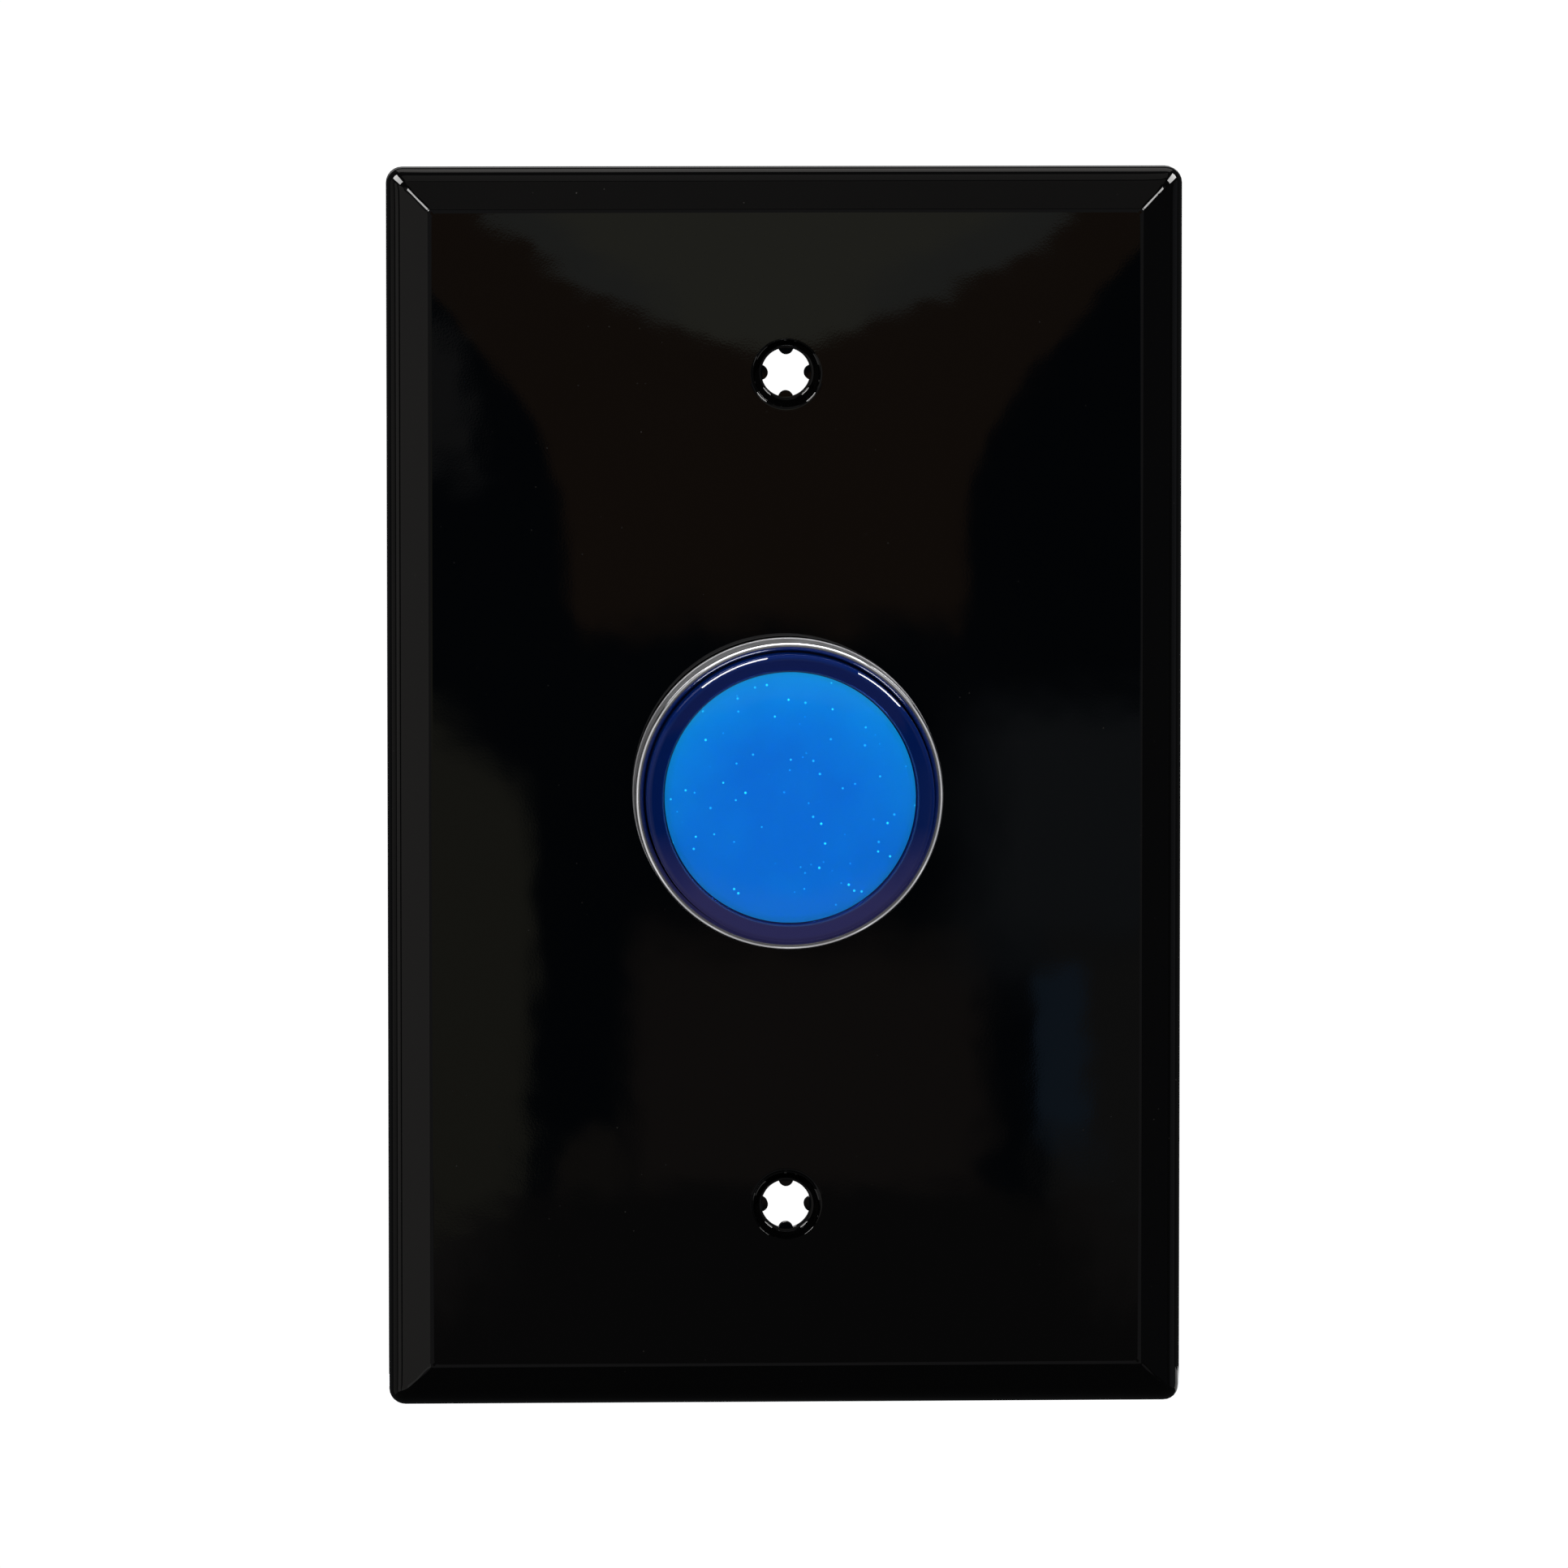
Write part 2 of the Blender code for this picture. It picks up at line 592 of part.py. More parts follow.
def make_barrel(body):
    profile = [
        (BARREL_BORE, FLANGE_FRONT),
        (FLANGE_RADIUS, FLANGE_FRONT),
        (FLANGE_RADIUS, FLANGE_BACK),
        (BARREL_RADIUS, FLANGE_BACK),
        (BARREL_RADIUS, WASHER_FRONT - THREAD_DEPTH),
        *thread_profile(),
        (BARREL_ROOT, BARREL_REAR),
        (HOLDER_HOLE_RADIUS, BARREL_REAR),
        (HOLDER_HOLE_RADIUS, BARREL_FLOOR_FRONT),
        (BARREL_BORE, BARREL_FLOOR_FRONT),
    ]
    barrel = new_object("barrel", turned(profile, BIG_ROUND), "moulded_black", body)
    slot = leg_block(SLIDE_FIT, BARREL_FLOOR_FRONT - CUT, BARREL_REAR + CUT)
    cut(barrel, helper("barrel_leg_slot", slot, body))


def make_lock_washer(body):
    profile = ring_profile(PLATE_HOLE_RADIUS, WASHER_RADIUS, WASHER_FRONT, WASHER_BACK)
    new_object("lock_washer", turned(profile, BIG_ROUND), "zinc_steel", body)


def make_mounting_nut(body):
    six_corners = arc((0.0, 0.0), NUT_CORNER_RADIUS, 30, 330, 5)
    nut = new_object("mounting_nut", prism(six_corners, NUT_FRONT, NUT_BACK), "moulded_black", body)
    bore = turned(solid_profile(NUT_BORE, NUT_FRONT - CUT, NUT_BACK + CUT), BIG_ROUND)
    cut(nut, helper("nut_bore_cutter", bore, body))


def make_lens_cap(body):
    edge = arc((LENS_RADIUS - LENS_EDGE, LENS_FACE + LENS_EDGE), LENS_EDGE, -90, 0, 2 * EDGE_STEPS)
    profile = [
        (0.0, LENS_FACE),
        *edge,
        (LENS_RADIUS, LENS_BACK),
        (LENS_BORE, LENS_BACK),
        (LENS_BORE, LENS_CEILING),
        (0.0, LENS_CEILING),
    ]
    new_object("lens_cap", turned(profile, BIG_ROUND), "lens_blue", body)


def make_diffuser(body):
    profile = solid_profile(DIFFUSER_RADIUS, DIFFUSER_FRONT, DIFFUSER_BACK)
    new_object("diffuser_disc", turned(profile, BIG_ROUND), "diffuser_blue", body)


def make_plunger_sleeve(body):
    profile = [
        (SLEEVE_BORE, SLEEVE_FRONT),
        (DIFFUSER_RADIUS, SLEEVE_FRONT),
        (DIFFUSER_RADIUS, LENS_BACK),
        (SLEEVE_RADIUS, LENS_BACK),
        (SLEEVE_RADIUS, SLEEVE_REAR),
        (SLEEVE_BORE, SLEEVE_REAR),
        (SLEEVE_BORE, WEB_BACK),
        (WEB_HOLE_RADIUS, WEB_BACK),
        (WEB_HOLE_RADIUS, WEB_FRONT),
        (SLEEVE_BORE, WEB_FRONT),
    ]
    sleeve = new_object("plunger_sleeve", turned(profile, BIG_ROUND), "moulded_white", body)
    leg = leg_block(0.0, SLEEVE_REAR - LEG_ROOT, LEG_TIP)
    join(sleeve, helper("sleeve_leg", leg, body))


def spring_station(turn):
    """Where the wire's middle lies along Y after a number of turns. The first and last turns are closed."""
    first = WEB_BACK + GAP + SPRING_WIRE_RADIUS
    last = BARREL_FLOOR_FRONT - GAP - SPRING_WIRE_RADIUS
    closed_rise = 2 * SPRING_WIRE_RADIUS + GAP
    if turn <= 1:
        return first + closed_rise * turn
    if turn >= SPRING_TURNS - 1:
        return last - closed_rise * (SPRING_TURNS - turn)
    share = (turn - 1) / (SPRING_TURNS - 2)
    return first + closed_rise + (last - first - 2 * closed_rise) * share


def spring_ring(maker, turn):
    """The points round the wire after a number of turns."""
    angle = 2 * math.pi * turn
    ring = []
    for side in range(WIRE_SIDES):
        around = 2 * math.pi * side / WIRE_SIDES
        radius = SPRING_RADIUS + SPRING_WIRE_RADIUS * math.cos(around)
        station = spring_station(turn) + SPRING_WIRE_RADIUS * math.sin(around)
        ring.append(maker.verts.new((radius * math.cos(angle), station, radius * math.sin(angle))))
    return ring


def spring_tube(maker):
    steps = SPRING_TURNS * SPRING_STEPS
    rings = [spring_ring(maker, step / SPRING_STEPS) for step in range(steps + 1)]
    for here, after in zip(rings, rings[1:]):
        for side in range(WIRE_SIDES):
            next_side = (side + 1) % WIRE_SIDES
            maker.faces.new((here[side], here[next_side], after[next_side], after[side]))
    maker.faces.new(rings[0])
    maker.faces.new(rings[-1][::-1])


def make_return_spring(body):
    new_object("return_spring", spring_tube, "spring_steel", body)


def make_lamp(body):
    lens_front = LAMP_LENS_BACK - LAMP_LENS_LENGTH
    dome = arc((0.0, lens_front + LAMP_LENS_RADIUS), LAMP_LENS_RADIUS, -90, 0, EDGE_STEPS + 1)
    lens = [*dome, (LAMP_LENS_RADIUS, LAMP_LENS_BACK), (0.0, LAMP_LENS_BACK)]
    new_object("lamp_lens", turned(lens, SMALL_ROUND), "lamp_clear", body)
    base = solid_profile(LAMP_BASE_RADIUS, LAMP_BASE_FRONT, LAMP_BASE_BACK)
    new_object("lamp_base", turned(base, SMALL_ROUND), "moulded_white", body)


def lamp_blade(side, clearance, start, end):
    """A lamp terminal's blade, or with a clearance the slot that it passes through."""
    half_thickness = LAMP_BLADE_THICKNESS / 2 + clearance
    half_width = LAMP_BLADE_WIDTH / 2 + clearance
    middle = side * LAMP_BLADE_OFFSET
    low = (middle - half_thickness, start, -half_width)
    high = (middle + half_thickness, end, half_width)
    return block(low, high)


def make_lamp_holder(body):
    profile = [
        (SOCKET_RADIUS, HOLDER_FRONT),
        (HOLDER_RADIUS, HOLDER_FRONT),
        (HOLDER_RADIUS, HOLDER_REAR),
        (0.0, HOLDER_REAR),
        (0.0, SOCKET_FLOOR),
        (SOCKET_RADIUS, SOCKET_FLOOR),
    ]
    holder = new_object("lamp_holder", turned(profile, SMALL_ROUND), "moulded_black", body)
    lug_low = (-LUG_WIDTH / 2, LUG_FRONT, -LUG_REACH)
    lug_high = (LUG_WIDTH / 2, LUG_BACK, LUG_REACH)
    join(holder, helper("holder_lugs", block(lug_low, lug_high), body))
    for side, word in ((-1, "left"), (1, "right")):
        slot = lamp_blade(side, GAP, SOCKET_FLOOR - CUT, HOLDER_REAR + CUT)
        cut(holder, helper(f"holder_slot_{word}", slot, body))
        blade = lamp_blade(side, 0.0, SOCKET_FLOOR, HOLDER_REAR + LAMP_BLADE_PROUD)
        new_object(f"lamp_terminal_{word}", blade, "tinned_brass", body)


def screw_points():
    """(name, z) of the two screws that hold the snap switch to its frame."""
    return (("upper", SCREW_PITCH / 2), ("lower", -SCREW_PITCH / 2))


def screw_cutters(prefix, start, end, body):
    """Clearance holes for the two switch screws through whatever lies between two x stations."""
    cutters = []
    for end_name, z in screw_points():
        profile = solid_profile(SCREW_CLEARANCE_RADIUS, start - CUT, end + CUT)
        hole = turned(profile, PIN_ROUND, "X", (0.0, SCREW_AXIS_Y, z))
        cutters.append(helper(f"{prefix}_{end_name}_screw_hole", hole, body))
    return cutters


def make_switch_frame(body):
    profile = [
        (HOLDER_HOLE_RADIUS, FRAME_FRONT),
        (SKIRT_INNER, FRAME_FRONT),
        (SKIRT_INNER, FRAME_FRONT - FRAME_SKIRT_LENGTH),
        (FRAME_RADIUS, FRAME_FRONT - FRAME_SKIRT_LENGTH),
        (FRAME_RADIUS, FRAME_BACK),
        (HOLDER_HOLE_RADIUS, FRAME_BACK),
    ]
    frame = new_object("switch_frame", turned(profile, BIG_ROUND), "moulded_black", body)
    arm_end = CASE_BACK - FRAME_ARM_SHORTER
    pad_left = LEG_X + LEG_SIZE / 2 + 2 * GAP
    pad = block(
        (pad_left, FRAME_FRONT, -FRAME_ARM_HALF_HEIGHT),
        (ARM_RIGHT, FRAME_BACK, FRAME_ARM_HALF_HEIGHT),
    )
    arm = block(
        (ARM_LEFT, FRAME_FRONT, -FRAME_ARM_HALF_HEIGHT),
        (ARM_RIGHT, arm_end, FRAME_ARM_HALF_HEIGHT),
    )
    join(frame, helper("frame_pad", pad, body), helper("frame_arm", arm, body))
    slot = leg_block(SLIDE_FIT, FRAME_FRONT - CUT, FRAME_BACK + CUT)
    cut(frame, helper("frame_leg_slot", slot, body))
    cut(frame, *screw_cutters("frame", ARM_LEFT, ARM_RIGHT, body))


def strip(across, along, up):
    """A block from its (low, high) pairs along X, Y and Z."""
    return block(*zip(across, along, up))


def switch_span(width):
    """(low, high) along X of something centred on the switch's lever."""
    return (LEG_X - width / 2, LEG_X + width / 2)


def terminal_places():
    """(name, lowest z of the strip) for the three blades that leave the switch at its back."""
    outer = CAVITY_TOP - GAP
    return {
        "common": outer - STRIP_THICKNESS,
        "open": -STRIP_THICKNESS / 2,
        "closed": -outer,
    }


def join_ears(case, body):
    """The two ears on the case's front that hold the lever's pivot pin, and the pin's hole."""
    inner = LEVER_WIDTH / 2 + GAP
    along = (PIVOT_Y - KNUCKLE_RADIUS - EAR_PROUD, CASE_FRONT + CASE_WALL / 2)
    up = (PIVOT_Z - EAR_HALF_HEIGHT, PIVOT_Z + EAR_HALF_HEIGHT)
    left = strip((CASE_LEFT, LEG_X - inner), along, up)
    right = strip((LEG_X + inner, CASE_RIGHT), along, up)
    join(case, helper("case_ear_left", left, body), helper("case_ear_right", right, body))
    profile = solid_profile(KNUCKLE_BORE, CASE_LEFT - CUT, CASE_RIGHT + CUT)
    hole = turned(profile, PIN_ROUND, "X", (0.0, PIVOT_Y, PIVOT_Z))
    cut(case, helper("case_pin_hole", hole, body))


def cut_terminal_slots(case, body):
    for name, low in terminal_places().items():
        across = switch_span(STRIP_WIDTH + 2 * GAP)
        slot = strip(across, (CAVITY_BACK - CUT, CASE_BACK + CUT), (low - GAP, low + STRIP_THICKNESS + GAP))
        cut(case, helper(f"{name}_terminal_slot", slot, body))


def make_switch_case(body):
    shell = strip((CASE_LEFT, CASE_RIGHT), (CASE_FRONT, CASE_BACK), (-CASE_TOP, CASE_TOP))
    case = new_object("switch_case", shell, "switch_black", body)
    join_ears(case, body)
    inside = (CASE_LEFT + CASE_WALL, CASE_RIGHT + CUT)
    cavity = strip(inside, (CAVITY_FRONT, CAVITY_BACK), (-CAVITY_TOP, CAVITY_TOP))
    cut(case, helper("case_cavity", cavity, body))
    half_height = BUTTON_HEIGHT / 2 + GAP
    button_hole = strip(
        switch_span(BUTTON_WIDTH + 2 * GAP),
        (CASE_FRONT - CUT, CAVITY_FRONT + CUT),
        (BUTTON_Z - half_height, BUTTON_Z + half_height),
    )
    cut(case, helper("case_button_hole", button_hole, body))
    cut_terminal_slots(case, body)
    cut(case, *screw_cutters("case", CASE_LEFT, CASE_RIGHT, body))


def make_switch_cover(body):
    plate = strip((COVER_LEFT, COVER_RIGHT), (CASE_FRONT, CASE_BACK), (-CASE_TOP, CASE_TOP))
    cover = new_object("switch_cover", plate, "switch_grey", body)
    cut(cover, *screw_cutters("cover", COVER_LEFT, COVER_RIGHT, body))


def make_switch_screws(body):
    head_start = ARM_RIGHT + GAP
    for word, z in screw_points():
        profile = [
            (0.0, CASE_LEFT + CASE_WALL),
            (SCREW_RADIUS, CASE_LEFT + CASE_WALL),
            (SCREW_RADIUS, head_start),
            (SCREW_HEAD_RADIUS, head_start),
            (SCREW_HEAD_RADIUS, head_start + SCREW_HEAD_HEIGHT),
            (0.0, head_start + SCREW_HEAD_HEIGHT),
        ]
        screw = turned(profile, PIN_ROUND, "X", (0.0, SCREW_AXIS_Y, z))
        new_object(f"switch_screw_{word}", screw, "zinc_steel", body)


def make_terminal(name, front, pad, body):
    """A blade that leaves the case at the back, joined inside the case to its pad, given as (along, up)."""
    low = terminal_places()[name]
    across = switch_span(STRIP_WIDTH)
    blade = strip(across, (front, CASE_BACK + TERMINAL_PROUD), (low, low + STRIP_THICKNESS))
    terminal = new_object(f"{name}_terminal", blade, "tinned_brass", body)
    join(terminal, helper(f"{name}_pad", strip(across, *pad), body))


def make_switch_terminals(body):
    """The pads end inside the blades' thickness, so that each joins in a clear overlap."""
    middles = {name: low + STRIP_THICKNESS / 2 for name, low in terminal_places().items()}
    anchor_front = BLADE_BACK + GAP
    anchor_low = CAVITY_TOP - GAP - PAD_REACH
    anchor = ((anchor_front, anchor_front + STRIP_THICKNESS), (anchor_low, middles["common"]))
    make_terminal("common", anchor_front, anchor, body)
    open_pad = ((LOWER_PAD_FRONT, LOWER_PAD_BACK), (BLADE_TIP_Z, middles["open"]))
    make_terminal("open", LOWER_PAD_FRONT, open_pad, body)
    closed_high = -CAVITY_TOP + GAP + PAD_REACH
    closed_pad = ((PAD_FRONT, PAD_BACK), (middles["closed"], closed_high))
    make_terminal("closed", PAD_FRONT, closed_pad, body)


def make_pivot_pin(body):
    profile = solid_profile(PIVOT_PIN_RADIUS, CASE_LEFT, CASE_RIGHT)
    pin = turned(profile, PIN_ROUND, "X", (0.0, PIVOT_Y, PIVOT_Z))
    new_object("lever_pivot_pin", pin, "spring_steel", body)


def make_switch_lever(body):
    """The lever lies along -Z of its pivot when flat. At rest it stands off the case at its free end."""
    half = LEVER_WIDTH / 2
    profile = ring_profile(KNUCKLE_BORE, KNUCKLE_RADIUS, LEG_X - half, LEG_X + half)
    knuckle = turned(profile, PIN_ROUND, "X")
    lever = new_object("switch_lever", knuckle, "spring_steel", body, -LEVER_REST_ANGLE)
    flat = block(
        (LEG_X - half, -LEVER_THICKNESS / 2, -LEVER_LENGTH),
        (LEG_X + half, LEVER_THICKNESS / 2, -(KNUCKLE_BORE + KNUCKLE_RADIUS) / 2),
    )
    join(lever, helper("lever_strip", flat, body, -LEVER_REST_ANGLE))


def make_switch_button(body):
    """The snap switch's own button. Its collar, inside the case, stops it falling out."""
    half_width = BUTTON_WIDTH / 2
    half_height = BUTTON_HEIGHT / 2
    foot = BLADE_FRONT - GAP - BUTTON_TIP
    stem = block((-half_width, 0.0, -half_height), (half_width, foot, half_height))
    button = new_object("switch_button", stem, "switch_red", body)
    collar_front = CAVITY_FRONT + GAP - BUTTON_TIP
    wide = half_width + BUTTON_COLLAR
    low = (-wide, collar_front, -half_height + GAP)
    high = (wide, collar_front + COLLAR_THICKNESS, half_height - GAP)
    collar = block(low, high)
    join(button, helper("button_collar", collar, body))


def make_snap_blade(body):
    """The moving blade, with a contact rivet through its tip and a window for the button's foot."""
    half = STRIP_WIDTH / 2
    half_blade = BLADE_THICKNESS / 2
    tip = BLADE_TIP_Z - BLADE_HINGE_Z
    heel = GAP + STRIP_THICKNESS
    strip_shape = block((-half, -half_blade, tip), (half, half_blade, heel))
    blade = new_object("snap_blade", strip_shape, "copper_alloy", body)
    rivet_end = half_blade + RIVET_HEIGHT
    rivet_profile = solid_profile(RIVET_RADIUS, -rivet_end, rivet_end)
    rivet_z = tip + RIVET_RADIUS + GAP
    rivet = turned(rivet_profile, PIN_ROUND, centre=(0.0, 0.0, rivet_z))
    join(blade, helper("blade_rivet", rivet, body))
    window_width = BUTTON_WIDTH / 2 + GAP
    window_height = BUTTON_HEIGHT / 2 + GAP
    window_z = BUTTON_Z - BLADE_HINGE_Z
    low = (-window_width, -CUT, window_z - window_height)
    high = (window_width, CUT, window_z + window_height)
    window = block(low, high)
    cut(blade, helper("blade_window", window, body))


def main():
    clear_scene()
    housing = body_empty("housing")
    for make in (
        make_wall_plate,
        make_panel_gasket,
        make_bezel_ring,
        make_barrel,
        make_lock_washer,
        make_mounting_nut,
        make_return_spring,
        make_lamp,
        make_lamp_holder,
        make_switch_frame,
        make_switch_case,
        make_switch_cover,
        make_switch_screws,
        make_switch_terminals,
        make_pivot_pin,
    ):
        make(housing)
    plunger = body_empty("plunger")
    for make in (make_lens_cap, make_diffuser, make_plunger_sleeve):
        make(plunger)
    make_switch_lever(body_empty("lever", (0.0, PIVOT_Y, PIVOT_Z)))
    make_switch_button(body_empty("button", (LEG_X, BUTTON_TIP, BUTTON_Z)))
    blade_middle = (BLADE_FRONT + BLADE_BACK) / 2
    make_snap_blade(body_empty("blade", (LEG_X, blade_middle, BLADE_HINGE_Z)))


main()
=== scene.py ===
"""Looks of the illuminated push button on its wall plate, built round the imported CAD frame.

Frame: +Z is up, the button's axis is the Y axis and the front faces -Y. Shapes are given in millimetres.
"""

import math

import bmesh
import bpy
from mathutils import Matrix, Vector


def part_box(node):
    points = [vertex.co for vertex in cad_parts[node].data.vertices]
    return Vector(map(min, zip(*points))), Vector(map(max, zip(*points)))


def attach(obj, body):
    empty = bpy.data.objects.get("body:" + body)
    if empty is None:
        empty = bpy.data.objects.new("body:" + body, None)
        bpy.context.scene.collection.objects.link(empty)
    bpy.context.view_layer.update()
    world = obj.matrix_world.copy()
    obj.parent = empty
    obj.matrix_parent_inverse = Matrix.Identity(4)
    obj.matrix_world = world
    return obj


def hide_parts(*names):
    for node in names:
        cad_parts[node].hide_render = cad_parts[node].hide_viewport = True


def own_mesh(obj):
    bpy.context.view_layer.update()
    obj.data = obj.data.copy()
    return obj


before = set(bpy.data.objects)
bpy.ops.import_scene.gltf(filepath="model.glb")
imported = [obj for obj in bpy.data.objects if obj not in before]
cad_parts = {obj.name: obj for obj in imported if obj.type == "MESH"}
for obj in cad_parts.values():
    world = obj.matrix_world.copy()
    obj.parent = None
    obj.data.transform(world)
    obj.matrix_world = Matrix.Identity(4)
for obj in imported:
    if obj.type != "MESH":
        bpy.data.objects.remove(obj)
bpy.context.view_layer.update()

MM = 0.001
MERGE = 1e-7

# Facets
FINE = 192
ROUND = 96
SMALL = 48
FILLET_STEPS = 5
SHARP_ANGLE = math.radians(38.0)

# Wall plate, in millimetres
PLATE_BORDER = 4.2
PLATE_CROWN = 0.6
PLATE_SIDE = 2.3
PLATE_ROLL_WIDTH = 2.0
PLATE_ROLL_HEIGHT = 2.8
PLATE_ROLL_TURN = math.radians(67.5)
PLATE_CORNER = 1.6
PLATE_MITRE = 0.5
PLATE_RIM = 2.6
PLATE_WALL = 2.4
PLATE_DRAFT = 0.6
PLATE_BORE = 13.5
SCREW_SPACING = 83.3
HOLE_RADIUS = 2.45
NUB_RADIUS = 0.75
NUB_REACH = 0.65
DISH_RADIUS = 3.5
DISH_FLOOR_RADIUS = 2.65
DISH_DEPTH = 1.0
DISH_LIP = 0.3
CAP_EDGE = 0.5
CAP_WALL_START = 0.01255
BEZEL_LIP = 0.95
BEZEL_SIDE_START = 0.01525

WHITE = (1.0, 0.99, 0.98)

# Camera
AZIMUTH = math.radians(-2.5)
ELEVATION = math.radians(4.8)
DISTANCE = 1.25
ROOM_DISTANCE = 1.36

# How the crowned face mirrors the room card: card distance for one unit of distance on the face
FACE_WIDE, FACE_TALL = 35.5, 57.8
MIRROR_SPREAD = 1 + ROOM_DISTANCE / DISTANCE
CROWN_BEND_X = 4 * PLATE_CROWN / FACE_WIDE**2 * ROOM_DISTANCE / MM
CROWN_BEND_Z = 4 * PLATE_CROWN / FACE_TALL**2 * ROOM_DISTANCE / MM
CAMERA_AIM = Vector((0.0, -0.001, 0.00016))
TO_CAMERA = Vector((
    math.sin(AZIMUTH) * math.cos(ELEVATION),
    -math.cos(AZIMUTH) * math.cos(ELEVATION),
    math.sin(ELEVATION),
))


# ---------------------------------------------------------------- shapes


def mesh_object(name, maker, sharp=SHARP_ANGLE):
    """A linked object from a bmesh in millimetres."""
    bmesh.ops.remove_doubles(maker, verts=maker.verts, dist=MERGE / MM)
    bmesh.ops.recalc_face_normals(maker, faces=maker.faces)
    bmesh.ops.scale(maker, vec=(MM, MM, MM), verts=maker.verts)
    mesh = bpy.data.meshes.new(name)
    maker.to_mesh(mesh)
    maker.free()
    mesh.shade_smooth()
    mesh.set_sharp_from_angle(angle=sharp)
    made = bpy.data.objects.new(name, mesh)
    bpy.context.scene.collection.objects.link(made)
    return made


def filleted(corners, closed=True):
    """(r, s, fillet) corners as (r, s) points, each corner with a fillet drawn as a small curve."""
    points = []
    count = len(corners)
    for number, (r, s, fillet) in enumerate(corners):
        here = Vector((r, s))
        at_end = not closed and number in (0, count - 1)
        if fillet <= 0 or at_end:
            points.append((r, s))
            continue
        before = Vector(corners[number - 1][:2])
        after = Vector(corners[(number + 1) % count][:2])
        reach_before = min(fillet, (before - here).length * 0.49)
        reach_after = min(fillet, (after - here).length * 0.49)
        start = here + (before - here).normalized() * reach_before
        end = here + (after - here).normalized() * reach_after
        for step in range(FILLET_STEPS + 1):
            t = step / FILLET_STEPS
            point = start * (1 - t) ** 2 + here * (2 * t * (1 - t)) + end * t**2
            points.append((point.x, point.y))
    return points


def arc(centre, radius, start, end, steps):
    """Points along a circular arc from one angle to another, in degrees."""
    angles = (math.radians(start + (end - start) * step / steps) for step in range(steps + 1))
    return [(centre[0] + radius * math.cos(a), centre[1] + radius * math.sin(a)) for a in angles]


def turned(profile, sides, axis="Y", centre=(0.0, 0.0, 0.0)):
    """A bmesh of a closed (radius, station) outline revolved about a line along an axis through centre."""
    maker = bmesh.new()
    rings = []
    for side in range(sides):
        angle = 2 * math.pi * (side + 0.5) / sides
        ring = []
        for radius, station in profile:
            across, up = radius * math.cos(angle), radius * math.sin(angle)
            local = (across, station, up) if axis == "Y" else (station, across, up)
            ring.append(maker.verts.new(Vector(local) + Vector(centre)))
        rings.append(ring)
    for side in range(sides):
        here, after = rings[side], rings[(side + 1) % sides]
        for start in range(len(profile)):
            end = (start + 1) % len(profile)
            maker.faces.new((here[start], here[end], after[end], after[start]))
    bmesh.ops.remove_doubles(maker, verts=maker.verts, dist=MERGE / MM)
    bmesh.ops.dissolve_degenerate(maker, edges=maker.edges, dist=MERGE / MM)
    return maker


def block(low, high, bevel=0.0, segments=3):
    """A bmesh of a rectangular block between two corners, with rounded edges."""
    maker = bmesh.new()
    low_corner, high_corner = Vector(low), Vector(high)
    size = high_corner - low_corner
    placed = Matrix.Translation((low_corner + high_corner) / 2) @ Matrix.Diagonal((*size, 1.0))
    bmesh.ops.create_cube(maker, size=1.0, matrix=placed)
    if bevel:
        bmesh.ops.bevel(
            maker, geom=maker.edges[:], offset=bevel, segments=segments, profile=0.5, affect="EDGES"
        )
    return maker


def prism(outline, start, end):
    """A bmesh of a closed (x, z) outline extruded along Y."""
    maker = bmesh.new()
    front = [maker.verts.new((x, start, z)) for x, z in outline]
    back = [maker.verts.new((x, end, z)) for x, z in outline]
    maker.faces.new(front)
    maker.faces.new(back[::-1])
    for here in range(len(outline)):
        after = (here + 1) % len(outline)
        maker.faces.new((front[here], back[here], back[after], front[after]))
    return maker


def settle(obj):
    """Makes an object's modifiers part of its mesh."""
    graph = bpy.context.evaluated_depsgraph_get()
    settled = bpy.data.meshes.new_from_object(obj.evaluated_get(graph))
    obj.modifiers.clear()
    old = obj.data
    obj.data = settled
    bpy.data.meshes.remove(old)
    obj.data.name = obj.name


def combine(target, operation, makers):
    """Cuts bmeshes from a piece, joins them to it or keeps only what is in them."""
    tools = []
    for number, maker in enumerate(makers):
        tool = mesh_object(f"{target.name}_tool_{number}", maker)
        modifier = target.modifiers.new("combine", "BOOLEAN")
        modifier.operation = operation
        modifier.solver = "EXACT"
        modifier.object = tool
        tools.append(tool)
    settle(target)
    for tool in tools:
        bpy.data.objects.remove(tool, do_unlink=True)


def soften(target, width, angle=35.0, segments=3):
    """Rounds a piece's edges."""
    weld = target.modifiers.new("weld", "WELD")
    weld.merge_threshold = 2e-6
    modifier = target.modifiers.new("soften", "BEVEL")
    modifier.width = width * MM
    modifier.segments = segments
    modifier.limit_method = "ANGLE"
    modifier.angle_limit = math.radians(angle)
    modifier.use_clamp_overlap = True
    settle(target)
    target.data.shade_smooth()
    target.data.set_sharp_from_angle(angle=SHARP_ANGLE)
    weighted = target.modifiers.new("weighted", "WEIGHTED_NORMAL")
    weighted.keep_sharp = True
    settle(target)


def add_to(target, maker):
    """Adds a bmesh, in millimetres, to a piece without joining their surfaces."""
    extra = mesh_object("extra", maker)
    joined = bmesh.new()
    joined.from_mesh(target.data)
    joined.from_mesh(extra.data)
    joined.to_mesh(target.data)
    joined.free()
    bpy.data.objects.remove(extra, do_unlink=True)
    target.data.shade_smooth()
    target.data.set_sharp_from_angle(angle=SHARP_ANGLE)


def finish_piece(piece, material, slot, body, *nodes):
    """Gives a piece its material and its body, and hides the CAD nodes that it stands for."""
    piece.data.materials.clear()
    piece.data.materials.append(material)
    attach(piece, body)
    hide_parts(*nodes)
    return piece


